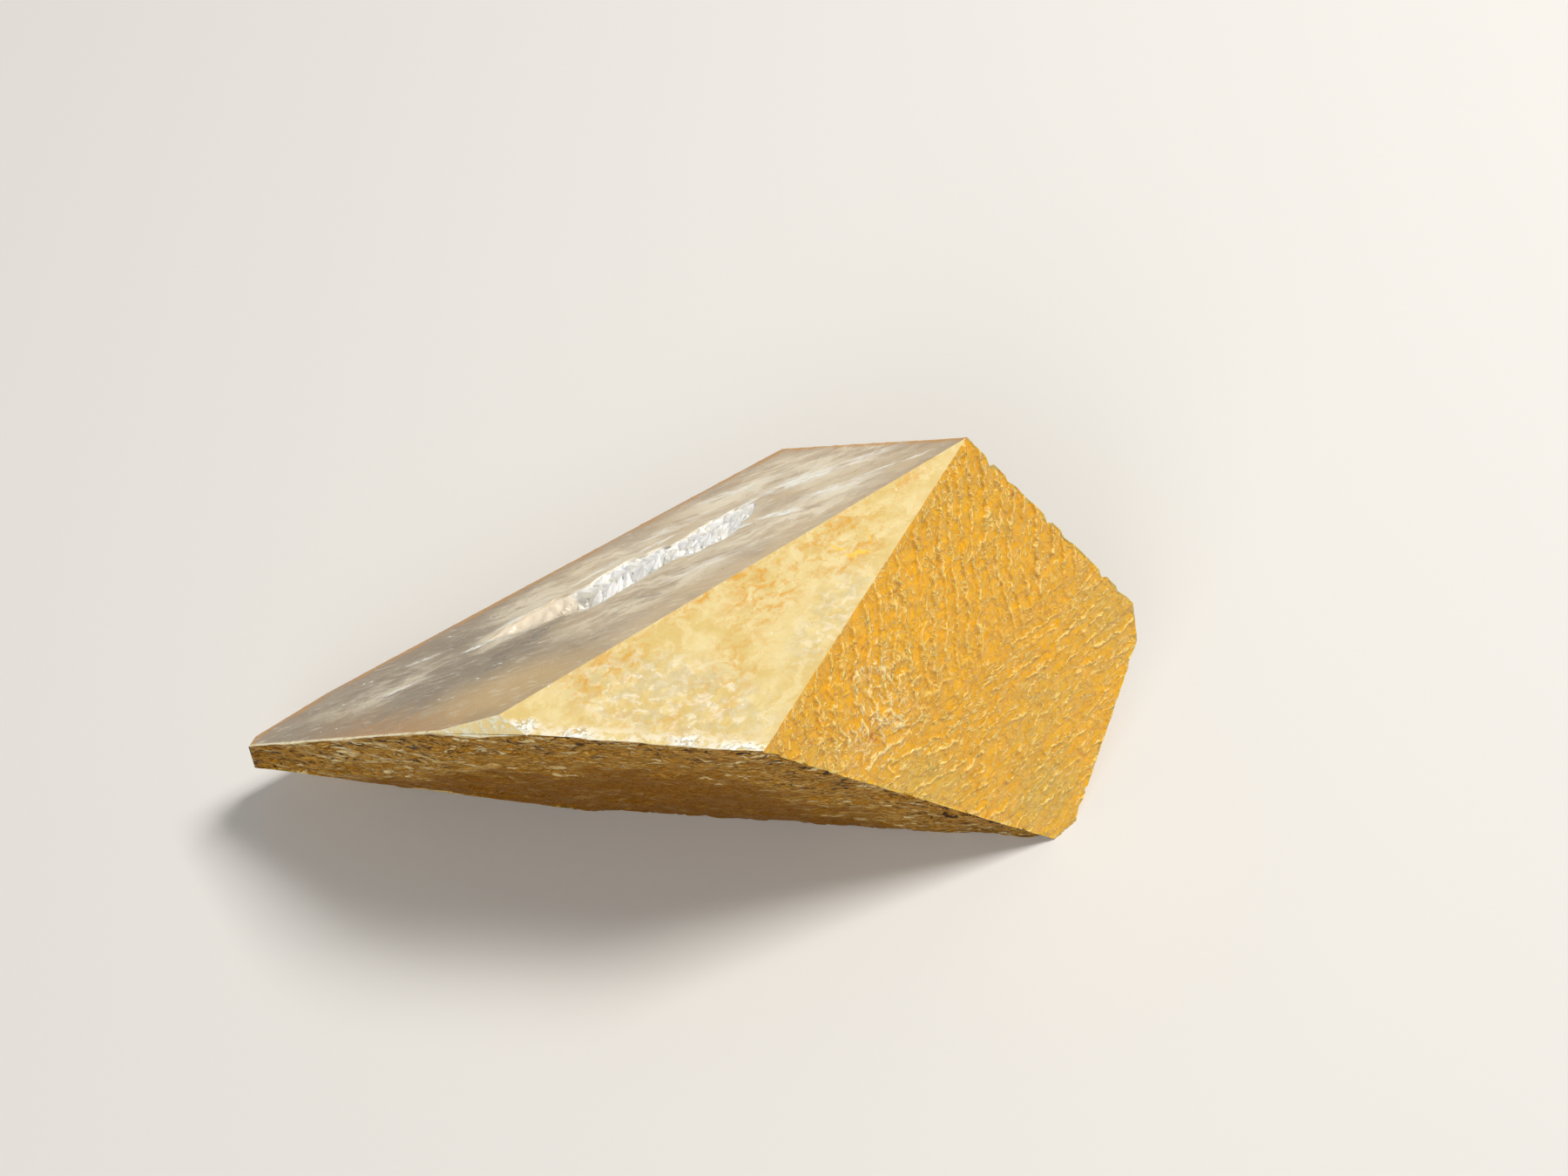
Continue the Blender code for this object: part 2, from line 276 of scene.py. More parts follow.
@dataclass(frozen=True)
class Hollow:
    """The long hollow that the saw opened, in the frame of the polished facet.

    Args:
        crest_start: upper end of the crest that the polished facet shares with the cream one.
        crest_end: its lower end.
        stations: (place along the crest, place across the facet, half width).
        depth: of the trough, as a share of its half width.
        step: between the rings of the cutter that sinks it.
        roundness: how many more points a quarter of a ring has than its ends.
        seam: points of the cutter nearer than this become one.
        lumps: height and size of the unevenness of its wall, coarse and fine.
    """

    crest_start: Vector = Vector((16.78, 4.51, 25.0))
    crest_end: Vector = Vector((-10.62, -10.76, 18.6))
    stations: tuple[tuple[float, float, float], ...] = (
        (12.2, 7.35, 0.30), (13.4, 7.10, 1.15), (15.0, 6.90, 1.70), (16.7, 7.05, 1.55),
        (18.1, 7.35, 1.05), (19.4, 7.75, 1.45), (21.2, 8.00, 1.80), (23.6, 8.05, 1.75),
        (26.0, 8.95, 1.35), (28.4, 9.55, 0.95), (30.6, 9.95, 0.30),
    )
    depth: float = 1.55
    step: float = 0.16
    roundness: int = 9
    seam: float = 0.01
    lumps: tuple[tuple[float, float], ...] = ((0.20, 1.1), (0.10, 0.38))

    def axes(self) -> tuple[Vector, Vector, Vector]:
        """Gives the ways in which places on the polished facet are measured.

        Returns:
            The way down the crest, the way across the facet and the normal.
        """
        normal = FACETS[POLISHED].normal
        down = (self.crest_end - self.crest_start).normalized()
        return down, down.cross(normal), normal

    def at(self, place: float) -> tuple[float, float]:
        """Gives the hollow at a place along it.

        Args:
            place: along the crest.

        Returns:
            Where its middle lies across the facet, and its half width.
        """
        index = 0
        while index < len(self.stations) - 2 and self.stations[index + 1][0] < place:
            index += 1
        near, far = self.stations[index], self.stations[index + 1]
        share = smooth_step(place, near[0], far[0])
        return near[1] + (far[1] - near[1]) * share, near[2] + (far[2] - near[2]) * share

    def wall(self, place: float, angle: float, inset: float) -> tuple[Vector, Vector]:
        """Gives a point of the hollow's wall.

        Args:
            place: along the crest.
            angle: round the wall, from 0 at the far rim to pi at the rim near the crest.
            inset: how far the point stands in from the wall.

        Returns:
            The point, and the direction from the wall into the hollow.
        """
        down, across, normal = self.axes()
        middle, half = self.at(place)
        point = self.crest_start + down * place + across * middle
        point += across * ((half - inset) * math.cos(angle))
        point -= normal * ((half * self.depth - inset) * math.sin(angle))
        inward = normal * math.sin(angle) - across * math.cos(angle)
        return point, inward


def lumpy(place: Vector, lumps: tuple[tuple[float, float], ...]) -> float:
    """Gives the unevenness at a place from the height and size of several kinds of lumps."""
    return sum(height * noise.noise(place / size) for height, size in lumps)


def deselect() -> None:
    """Leaves nothing selected, so that the next operator acts on its own piece alone."""
    bpy.ops.object.select_all(action="DESELECT")


def activate(piece: bpy.types.Object) -> None:
    """Makes a piece the only selected one and the active one.

    Args:
        piece: the mesh object or curve.
    """
    deselect()
    piece.select_set(True)
    bpy.context.view_layer.objects.active = piece


def apply_modifier(piece: bpy.types.Object, kind: str, **settings: object) -> None:
    """Adds a modifier to a piece and applies it.

    Args:
        piece: the mesh object.
        kind: Blender's name for the modifier type.
        settings: values of the modifier's properties.
    """
    activate(piece)
    modifier = piece.modifiers.new(kind.title(), kind)
    for name, value in settings.items():
        setattr(modifier, name, value)
    bpy.ops.object.modifier_apply(modifier=modifier.name)


def select_facets(piece: bpy.types.Object, *numbers: int) -> None:
    """Selects the faces of some facets, in edit mode.

    Args:
        piece: the stone.
        numbers: of the facets.
    """
    bpy.ops.mesh.select_all(action="DESELECT")
    for number in numbers:
        piece.active_material_index = number
        bpy.ops.object.material_slot_select()


@dataclass
class FacetedStone:
    """The stone itself: one block of agate and quartz with flat sides.

    Args:
        hollow: what the saw opened in the polished side.
        finishes: material for each facet, then the one for the hollow's wall.
        block: side of the block that the facets are cut from.
        closest: strip corners nearer than this become one.
        cuts: how often each side of a strip's triangle is divided.
        ridges: the families of welts: the steep ones that lie in a facet's upper part, the level
            ones in its lower part, two of spurs between them, and one that crosses the tangle.
        tangle: where the families cross one another.
        least_spurs: share of the spurs that there are far from the tangle.
        least_cross: the same of the family that crosses it.
        full_share: share of a family at which its welts have their full height.
        faintest: share under which a family is left out.
        turn_share: how far up each facet its welts turn from level to steep.
        turn_reach: over which they turn.
        ground_depth: of the ground between the welts, under the facet's plane.
        step_height: of the ground between two welts over that between the next two.
        grain_height: of the ground's fine unevenness.
        fold_height: of its soft folds.
        pit_depth: of the drawn-out pits between flakes.
        flake_size: length and width of a flake.
        flake_height: of the flakes.
        flake_tilt: of a flake's lower edge over its upper one.
        flake_sink: of the middle flake, and of the cracks too, as a share of the flakes' height.
        crack_reach: of a crack's floor and its rim from its middle, as shares of a flake.
        corner_share: of the relief that is left where two rough facets meet.
        border_share: of the relief that is left where a rough facet meets a flat one.
        border_reach: how far from there the relief is full again.
        turn_rise: the height on each facet at which its welts turn, filled in by slice_facets.
    """

    hollow: Hollow
    finishes: list[bpy.types.Material]
    block: float = 160.0
    closest: float = 0.3
    cuts: int = 7
    ridges: tuple[Ridges, ...] = (
        Ridges(73.0, 0.98, 0.20, 0.085, 3.8, -0.42, 1.0),
        Ridges(3.0, 0.92, 0.16, 0.085, 2.4, -0.22, 2.0),
        Ridges(-16.0, 0.80, 0.12, 0.080, 1.1, 0.0, 5.0),
        Ridges(97.0, 0.75, 0.12, 0.080, 1.1, 0.0, 7.0),
        Ridges(30.0, 0.70, 0.12, 0.080, 1.1, -0.02, 11.0),
    )
    tangle: Patch = Patch(2.8, 4.5, 4.8, 3.8)
    least_spurs: float = 0.42
    least_cross: float = 0.1
    full_share: float = 0.7
    faintest: float = 0.02
    turn_share: float = 0.55
    turn_reach: float = 5.0
    ground_depth: float = 0.12
    step_height: float = 0.08
    grain_height: float = 0.04
    fold_height: float = 0.09
    pit_depth: float = 0.21
    flake_size: tuple[float, float] = (1.15, 0.5)
    flake_height: float = 0.08
    flake_tilt: float = 0.05
    flake_sink: float = 0.7
    crack_reach: tuple[float, float] = (0.02, 0.22)
    corner_share: float = 0.3
    border_share: float = 0.35
    border_reach: float = 0.6
    turn_rise: dict[int, float] = field(default_factory=dict)

    def build(self) -> bpy.types.Object:
        """Makes the stone's mesh and gives it its finishes.

        Returns:
            The finished piece, in metres.
        """
        piece = self.cut_block()
        self.sink_hollow(piece)
        self.slice_facets(piece)
        self.raise_relief(piece)
        self.lay_facet_map(piece)
        self.mark_borders(piece)
        piece.data.transform(Matrix.Scale(MM, 4))
        return piece

    def cut_block(self) -> bpy.types.Object:
        """Cuts a block down to the facets.

        Returns:
            A closed piece with one face, and one material slot, for each facet.
        """
        deselect()
        bpy.ops.mesh.primitive_cube_add(size=self.block)
        piece = bpy.context.object
        piece.name = "agate_stone"
        for finish in self.finishes:
            piece.data.materials.append(finish)
        bpy.ops.object.mode_set(mode="EDIT")
        for facet in FACETS:
            bpy.ops.mesh.select_all(action="SELECT")
            bpy.ops.mesh.bisect(plane_co=facet.normal * facet.distance, plane_no=facet.normal,
                                use_fill=True, clear_outer=True)
        bpy.ops.object.mode_set(mode="OBJECT")
        normals = [facet.normal for facet in FACETS]
        for face in piece.data.polygons:
            match = [face.normal.dot(normal) for normal in normals]
            face.material_index = match.index(max(match))
        return piece

    def sink_hollow(self, piece: bpy.types.Object) -> None:
        """Sinks the hollow in the polished side with a cutter of the hollow's own shape.

        Args:
            piece: the stone with plain facets.
        """
        cutter = self.hollow_cutter()
        for finish in self.finishes:
            cutter.data.materials.append(finish)
        for face in cutter.data.polygons:
            face.material_index = HOLLOW_SLOT
        apply_modifier(piece, "BOOLEAN", operation="DIFFERENCE", solver="EXACT",
                       use_self=True, object=cutter)
        bpy.data.objects.remove(cutter)

    def hollow_cutter(self) -> bpy.types.Object:
        """Makes a closed body that fills the hollow.

        Returns:
            The cutter, a tube that swells and narrows and is deeper than it is wide.
        """
        down, across, normal = self.hollow.axes()
        spine = bpy.data.curves.new("hollow_cutter", "CURVE")
        spine.dimensions = "3D"
        spine.bevel_depth = 1.0
        spine.bevel_resolution = self.hollow.roundness
        spine.use_fill_caps = True
        first, last = self.hollow.stations[0][0], self.hollow.stations[-1][0]
        count = round((last - first) / self.hollow.step)
        run = spine.splines.new("POLY")
        run.points.add(count)
        for index, point in enumerate(run.points):
            place = first + (last - first) * index / count
            middle, half = self.hollow.at(place)
            centre = self.hollow.crest_start + down * place + across * middle
            point.co = (*centre, 1.0)
            point.radius = half
        cutter = bpy.data.objects.new("hollow_cutter", spine)
        bpy.context.scene.collection.objects.link(cutter)
        activate(cutter)
        bpy.ops.object.convert(target="MESH")
        bpy.ops.object.mode_set(mode="EDIT")
        bpy.ops.mesh.select_all(action="SELECT")
        bpy.ops.mesh.remove_doubles(threshold=self.hollow.seam)
        bpy.ops.mesh.normals_make_consistent(inside=False)
        bpy.ops.object.mode_set(mode="OBJECT")
        plane = FACETS[POLISHED].distance
        for vert in cutter.data.vertices:
            height = vert.co.dot(normal) - plane
            vert.co += normal * (height * (self.hollow.depth - 1.0))
            vert.co += vert.normal * lumpy(vert.co, self.hollow.lumps)
        return cutter

    def slice_facets(self, piece: bpy.types.Object) -> None:
        """Slices the facets into strips, and divides the rough ones finely enough for their relief.

        Args:
            piece: the stone with plain facets.
        """
        spans = {}
        for number, facet in enumerate(FACETS):
            corners = [piece.data.vertices[index].co
                       for face in piece.data.polygons if face.material_index == number
                       for index in face.vertices]
            for way in facet.axes():
                places = [corner.dot(way) for corner in corners]
                spans.setdefault(number, []).append((way, min(places), max(places)))
        self.turn_rise = {number: low + (high - low) * self.turn_share
                          for number, (_, (_, low, high)) in spans.items()}
        bpy.ops.object.mode_set(mode="EDIT")
        bpy.ops.mesh.select_mode(type="FACE")
        for number, facet in enumerate(FACETS):
            if not facet.strip:
                continue
            for way, low, high in spans[number]:
                strips = max(1, round((high - low) / facet.strip))
                for strip in range(1, strips):
                    select_facets(piece, number)
                    place = low + (high - low) * strip / strips
                    bpy.ops.mesh.bisect(plane_co=way * place, plane_no=way)
        rough = [number for number, facet in enumerate(FACETS) if facet.skin in ROUGH_SKINS]
        flat = [number for number in range(len(self.finishes)) if number not in rough]
        select_facets(piece, *flat)
        bpy.ops.mesh.select_mode(type="VERT")
        bpy.ops.mesh.select_all(action="INVERT")
        bpy.ops.mesh.remove_doubles(threshold=self.closest, use_unselected=True)
        bpy.ops.mesh.select_mode(type="FACE")
        select_facets(piece, *rough)
        bpy.ops.mesh.quads_convert_to_tris(quad_method="BEAUTY", ngon_method="BEAUTY")
        bpy.ops.mesh.subdivide(number_cuts=self.cuts)
        bpy.ops.object.mode_set(mode="OBJECT")

    def ridge_relief(self, along: float, rise: float, number: int) -> tuple[float, float, float]:
        """Gives the welts at a place on a facet.

        Args:
            along: place on the facet.
            rise: place up it.
            number: of the facet.

        Returns:
            The height of the skin over the facet's plane, how near a crest it is, and the
            ground's shade.
        """
        layer = float(number + 1)
        upper = min(1.0, max(0.0, 0.5 + (rise - self.turn_rise[number]) / self.turn_reach))
        off_along = (along - self.tangle.along) / self.tangle.length
        off_rise = (rise - self.tangle.across) / self.tangle.width
        tangle = math.exp(-(off_along ** 2 + off_rise ** 2))
        spurs = self.least_spurs + (1.0 - self.least_spurs) * tangle
        cross = self.least_cross + (1.0 - self.least_cross) * tangle
        height = 0.0
        top = 0.0
        ground = 0.0
        for family, share in zip(self.ridges, (upper, 1.0 - upper, spurs, spurs, cross)):
            if share < self.faintest:
                continue
            crest, level = family.crest(along, rise, layer)
            crest *= min(1.0, share / self.full_share)
            height = max(height, crest * family.height)
            top = max(top, crest)
            ground += level * share * self.step_height
        grain = GRAIN.at(along, rise, layer) + FINE_GRAIN.at(along, rise, layer)
        fold = 0.5 - abs(FOLDS.at(along + FOLD_PULL * grain, rise, layer))
        ground += self.grain_height * grain + self.fold_height * fold - self.ground_depth
        return height + ground, top, 0.5 + 0.5 * grain

    def flake_relief(self, along: float, rise: float, number: int) -> tuple[float, float, float]:
        """Gives the overlapping flakes and the drawn-out pits at a place on a facet.

        Args:
            along: place on the facet.
            rise: place up it.
            number: of the facet.

        Returns:
            The height of the skin over the facet's plane, how near a crack it is, and the flake's
            shade.
        """
        layer = float(number + 1)
        value = PITS.at(along, rise + PIT_SWAY.at(along, rise, layer), layer)
        pit = min(1.0, max(0.0, (value - PIT_RIM) / (PIT_FLOOR - PIT_RIM)))
        warp = FLAKE_WARP.at(along, rise, layer)
        length, width = self.flake_size
        place = Vector((along / length + warp, rise / width + warp, layer))
        away, middles = noise.voronoi(place)
        crack = 1.0 - smooth_step(away[1] - away[0], *self.crack_reach)
        shade = middles[0].dot(LOT) % 1.0
        height = self.flake_height * (shade - self.flake_sink * (1.0 + crack))
        height += self.flake_tilt * (place.y - middles[0].y)
        return height - self.pit_depth * pit, crack, shade

    def raise_relief(self, piece: bpy.types.Object) -> None:
        """Moves the points of the rough facets by their relief. Flat facets stay flat.

        Args:
            piece: the stone with finely divided rough facets.
        """
        mesh = piece.data
        owners = [set() for _ in mesh.vertices]
        for face in mesh.polygons:
            for index in face.vertices:
                owners[index].add(face.material_index)
        axes = [facet.axes() for facet in FACETS]
        normals = [facet.normal for facet in FACETS]
        flat_sides = [n for n, facet in enumerate(FACETS)
                      if facet.skin in (Skin.POLISHED, Skin.CREAM, Skin.FROSTED)]
        crests = [0.0] * len(mesh.vertices)
        tints = [0.5] * len(mesh.vertices)
        for vert, numbers in zip(mesh.vertices, owners):
            rough = [n for n in numbers if n < HOLLOW_SLOT and FACETS[n].skin in ROUGH_SKINS]
            flat = [n for n in numbers if n not in rough]
            if not rough or len(flat) > 1:
                continue
            move = Vector()
            for number in rough:
                along, uphill = axes[number]
                relief = self.flake_relief if FACETS[number].skin is Skin.FLAKED else self.ridge_relief
                height, crest, tint = relief(vert.co.dot(along), vert.co.dot(uphill), number)
                move += normals[number] * (height / len(rough))
                crests[vert.index] = max(crests[vert.index], crest)
                tints[vert.index] = tint
            under = min(FACETS[n].distance - vert.co.dot(normals[n]) for n in flat_sides)
            calm = smooth_step(under, 0.0, self.border_reach)
            move *= self.border_share + (1.0 - self.border_share) * calm
            if len(rough) > 1:
                move *= self.corner_share
            for number in flat:
                move -= normals[number] * move.dot(normals[number])
            vert.co += move
            vert.co.z = max(vert.co.z, 0.0)
        for name, values in ((CREST, crests), (TINT, tints)):
            mesh.attributes.new(name, "FLOAT", "POINT").data.foreach_set("value", values)

    def lay_facet_map(self, piece: bpy.types.Object) -> None:
        """Lays each facet's own millimetres on it as a UV map.

        On the polished facet they run down the crest and across, as the hollow's places do.

        Args:
            piece: the stone with its relief.
        """
        mesh = piece.data
        places = numpy.empty(len(mesh.vertices) * 3)
        mesh.vertices.foreach_get("co", places)
        corners = numpy.empty(len(mesh.loops), dtype=int)
        mesh.loops.foreach_get("vertex_index", corners)
        sizes = numpy.empty(len(mesh.polygons), dtype=int)
        mesh.polygons.foreach_get("loop_total", sizes)
        slots = numpy.empty(len(mesh.polygons), dtype=int)
        mesh.polygons.foreach_get("material_index", slots)
        corner_places = places.reshape(-1, 3)[corners]
        corner_slots = numpy.repeat(slots, sizes)
        down, across, _ = self.hollow.axes()
        values = numpy.zeros((len(corners), 2))
        for number in range(len(self.finishes)):
            here = corner_slots == number
            if number in (POLISHED, HOLLOW_SLOT):
                ways = (down, across)
                origin = numpy.array(self.hollow.crest_start)
            else:
                ways = FACETS[number].axes()
                origin = numpy.zeros(3)
            for column, way in enumerate(ways):
                values[here, column] = (corner_places[here] - origin) @ numpy.array(way)
        mesh.uv_layers.new(name=FACET_MAP).data.foreach_set("uv", values.ravel())

    def mark_borders(self, piece: bpy.types.Object) -> None:
        """Keeps the borders between facets sharp, and shades rough facets smooth and flat ones flat.

        Args:
            piece: the stone with its relief.
        """
        activate(piece)
        bpy.ops.object.shade_smooth()
        bpy.ops.object.mode_set(mode="EDIT")
        for number in range(len(self.finishes)):
            bpy.ops.mesh.select_mode(type="FACE")
            select_facets(piece, number)
            if number != HOLLOW_SLOT and FACETS[number].skin not in ROUGH_SKINS:
                bpy.ops.mesh.faces_shade_flat()
            bpy.ops.mesh.region_to_loop()
            bpy.ops.mesh.mark_sharp()
        bpy.ops.object.mode_set(mode="OBJECT")


@dataclass(frozen=True)
class PointCluster:
    """A stretch of the hollow's wall where quartz points of one size stand.

    Args:
        places: from where to where along the crest.
        angles: between which angles round the wall, in degrees.
        count: how many points.
        radius: least and most.
        length: least and most.
        lean: of the points towards the crest's upper end, as a share of their length.
        stray: how far a point's own way may differ from its neighbours'.
    """

    places: tuple[float, float]
    angles: tuple[float, float]
    count: int
    radius: tuple[float, float]
    length: tuple[float, float]
    lean: float
    stray: float


@dataclass
class QuartzDruse:
    """The crust of quartz points that lines the hollow.

    Args:
        hollow: that it lines.
        finish: its material.
        clusters: where which points stand.
        seed: of their sizes and places.
        places: from where to where along the crest the crust reaches.
        angles: between which angles round the wall, in degrees.
        divisions: of the crust along the hollow and round it.
        inset: of the crust from the bed of the hollow.
        lumps: height and size of the crust's unevenness, coarse and fine.
        crust: thickness of the crust.
        filled: share of the hollow's depth that quartz fills.
        headroom: share of the room above its foot that a point may take.
        flattest: cosine of the lowest slope that is counted with, for a point that leans over.
        fill: share of the same room that the crust's lumps may take.
        margin: how far under the polished facet everything stays.
        prism: share of a point's length that is prism, under its pyramid.
        slant: of the pyramid's tip from the prism's axis, as shares of the radius.
        tip: size of the pyramid's end, which is an edge rather than a corner.
    """

    hollow: Hollow
    finish: bpy.types.Material
    clusters: tuple[PointCluster, ...] = (
        PointCluster((18.4, 24.4), (0.0, 75.0), 46, (0.24, 0.40), (1.2, 1.9), 0.7, 0.16),
        PointCluster((13.4, 17.8), (0.0, 75.0), 52, (0.16, 0.28), (0.8, 1.3), 0.7, 0.16),
        PointCluster((13.0, 25.0), (75.0, 172.0), 64, (0.22, 0.40), (0.4, 0.8), 0.3, 0.24),
        PointCluster((24.0, 26.5), (10.0, 165.0), 12, (0.12, 0.22), (0.2, 0.4), 0.0, 0.3),
    )
    seed: int = 27
    places: tuple[float, float] = (12.05, 30.8)
    angles: tuple[float, float] = (6.0, 174.0)
    divisions: tuple[int, int] = (96, 26)
    inset: float = 0.10
    lumps: tuple[tuple[float, float], ...] = ((0.30, 0.62), (0.12, 0.24))
    crust: float = 0.22
    filled: float = 0.5
    headroom: float = 0.9
    flattest: float = 0.2
    fill: float = 0.6
    margin: float = 0.03
    prism: float = 0.42
    slant: tuple[float, float] = (0.12, 0.05)
    tip: tuple[float, float] = (0.16, 0.05)

    def bed(self, place: float, angle: float, inset: float) -> tuple[Vector, Vector, float]:
        """Gives a point on the bed that the points stand on.

        Args:
            place: along the crest.
            angle: round the hollow's wall.
            inset: how far the point stands in from the wall.

        Returns:
            The point, the direction into the hollow, and the point's depth under the polished facet.
        """
        point, inward = self.hollow.wall(place, angle, inset)
        normal = FACETS[POLISHED].normal
        under = FACETS[POLISHED].distance - point.dot(normal)
        lift = under * self.filled
        return point + normal * lift, inward, under - lift

    def build(self) -> bpy.types.Object:
        """Makes the crust and its points.

        Returns:
            The finished piece, in metres.
        """
        piece = self.line_hollow()
        points = self.plant_points()
        activate(piece)
        for point in points:
            point.select_set(True)
        bpy.ops.object.join()
        piece.data.materials.clear()
        piece.data.materials.append(self.finish)
        piece.data.transform(Matrix.Scale(MM, 4))
        return piece

    def line_hollow(self) -> bpy.types.Object:
        """Makes the thin crust that the points stand on.

        Returns:
            A closed trough with an uneven surface.
        """
        deselect()
        bpy.ops.mesh.primitive_grid_add(x_subdivisions=self.divisions[0],
                                        y_subdivisions=self.divisions[1], size=1.0)
        piece = bpy.context.object
        piece.name = "quartz_points"
        first, last = self.places
        low, high = self.angles
        for vert in piece.data.vertices:
            place = first + (last - first) * (vert.co.x + 0.5)
            angle = math.radians(low + (high - low) * (vert.co.y + 0.5))
            point, inward, under = self.bed(place, angle, self.inset)
            uneven = sum(abs(lumpy(point, (kind,))) for kind in self.lumps)
            vert.co = point + inward * min(uneven, self.fill * max(under, 0.0))
        apply_modifier(piece, "SOLIDIFY", thickness=self.crust, offset=-1.0)
        facet = FACETS[POLISHED]
        for vert in piece.data.vertices:
            over = vert.co.dot(facet.normal) + self.margin - facet.distance
            vert.co -= facet.normal * max(over, 0.0)
        bpy.ops.object.mode_set(mode="EDIT")
        bpy.ops.mesh.select_all(action="SELECT")
        bpy.ops.mesh.normals_make_consistent(inside=False)
        bpy.ops.object.mode_set(mode="OBJECT")
        bpy.ops.object.shade_smooth()
        return piece

    def model_point(self) -> bpy.types.Object:
        """Models one quartz point, a unit wide and a unit long, standing on the origin.

        Returns:
            A six-sided prism that ends in an uneven pyramid.
        """
        deselect()
        bpy.ops.mesh.primitive_cylinder_add(vertices=6, radius=1.0, depth=self.prism,
                                            location=(0.0, 0.0, self.prism / 2.0))
        point = bpy.context.object
        bpy.ops.object.transform_apply(location=True, rotation=False, scale=False)
        bpy.ops.object.mode_set(mode="EDIT")
        bpy.ops.mesh.select_mode(type="FACE")
        bpy.ops.mesh.select_all(action="DESELECT")
        bpy.ops.object.mode_set(mode="OBJECT")
        for face in point.data.polygons:
            face.select = face.normal.z > FACING_UP
        bpy.ops.object.mode_set(mode="EDIT")
        bpy.ops.mesh.extrude_region_move(
            TRANSFORM_OT_translate={"value": (*self.slant, 1.0 - self.prism)})
        bpy.ops.transform.resize(value=(*self.tip, 1.0))
        bpy.ops.object.mode_set(mode="OBJECT")
        return point

    def plant_points(self) -> list[bpy.types.Object]:
        """Stands copies of one quartz point on the crust.

        Returns:
            The copies, each with its own mesh.
        """
        chance = random.Random(self.seed)
        model = self.model_point()
        down, _, _ = self.hollow.axes()
        points = []
        for cluster in self.clusters:
            for _ in range(cluster.count):
                place = chance.uniform(*cluster.places)
                angle = math.radians(chance.uniform(*cluster.angles))
                foot, inward, under = self.bed(place, angle, 0.0)
                stray = Vector([chance.uniform(-cluster.stray, cluster.stray) for _ in range(3)])
                axis = (inward - down * cluster.lean + stray).normalized()
                radius = chance.uniform(*cluster.radius)
                steepness = max(axis.dot(FACETS[POLISHED].normal), self.flattest)
                room = self.headroom * under / steepness
                length = max(min(chance.uniform(*cluster.length), room), radius)
                turn = axis.to_track_quat("Z", "Y").to_matrix().to_4x4()
                spin = Matrix.Rotation(chance.uniform(0.0, math.tau), 4, "Z")
                size = Matrix.Diagonal((radius, radius, length, 1.0))
                mesh = model.data.copy()
                mesh.transform(Matrix.Translation(foot) @ turn @ spin @ size)
                self.sink(mesh)
                point = bpy.data.objects.new("quartz_point", mesh)
                bpy.context.scene.collection.objects.link(point)
                points.append(point)
        bpy.data.objects.remove(model)
        return points

    def sink(self, mesh: bpy.types.Mesh) -> None:
        """Lowers a point that would stand out of the hollow until it is just under the polished facet.

        Args:
            mesh: of the point, in its place.
        """
        facet = FACETS[POLISHED]
        over = max(vert.co.dot(facet.normal) for vert in mesh.vertices) + self.margin - facet.distance
        if over > 0.0:
            mesh.transform(Matrix.Translation(facet.normal * -over))


# ---------------------------------------------------------------- finishes


def linear(colour: str) -> tuple[float, float, float, float]:
    """Turns an sRGB colour to the linear one that shaders take.

    Args:
        colour: as hex digits, such as "#D9A441".

    Returns:
        Its red, green, blue and alpha.
    """
    channels = [int(colour[i:i + 2], 16) / 255.0 for i in (1, 3, 5)]
    steps = [c / 12.92 if c <= 0.04045 else ((c + 0.055) / 1.055) ** 2.4 for c in channels]
    return (steps[0], steps[1], steps[2], 1.0)


class Motif(Enum):
    """What a grain draws."""

    SHAPES = "soft shapes"
    LINES = "thin curling lines, where soft shapes cross their middle value"
    CELLS = "flakes side by side, each of its own shade"
    CRACKS = "the cracks between such flakes"


@dataclass(frozen=True)
class Grain:
    """A pattern whose shapes have a real size.

    Args:
        length: of the shapes.
        width: of the shapes.
        start: value where a shape begins. For cracks it is half their width, as a share of a flake.
        full: value where a shape is full.
        turn: degrees from the facet's first direction to the way the shapes lie.
        detail: how many finer sizes are mixed in.
        bend: how far the shapes are pulled about.
        seed: which pattern, as each has its own shapes.
        motif: what is drawn.
    """

    length: float
    width: float
    start: float
    full: float
    turn: float = 0.0
    detail: float = 3.0
    bend: float = 0.0
    seed: float = 0.0
    motif: Motif = Motif.SHAPES


# Settings of nodes that are used again and again
SMOOTH = {"interpolation_type": "SMOOTHSTEP"}
TURNED = {"vector_type": "TEXTURE"}
MINUS = {"operation": "SUBTRACT"}
TIMES = {"operation": "MULTIPLY"}
TIMES_PLUS = {"operation": "MULTIPLY_ADD"}
LEAST = {"operation": "MINIMUM"}
MOST = {"operation": "MAXIMUM"}
SIZE_OF = {"operation": "ABSOLUTE"}
DOT = {"operation": "DOT_PRODUCT"}
LENGTH = {"operation": "LENGTH"}
SCALED = {"operation": "SCALE"}

SEED_STEP = (31.0, 17.0)  # how far apart, in shapes, two seeds read the noise
FINE_SHARE = {Motif.SHAPES: 0.6, Motif.LINES: 0.55}  # how strongly a pattern's finer sizes show
STRAY_DETAIL = 4.0
SPECK_BORDER = 0.3  # width of a speck's soft border, as a share of its size
OVAL_CORE = 0.2  # how far from its middle an oval is full, as a share of its size


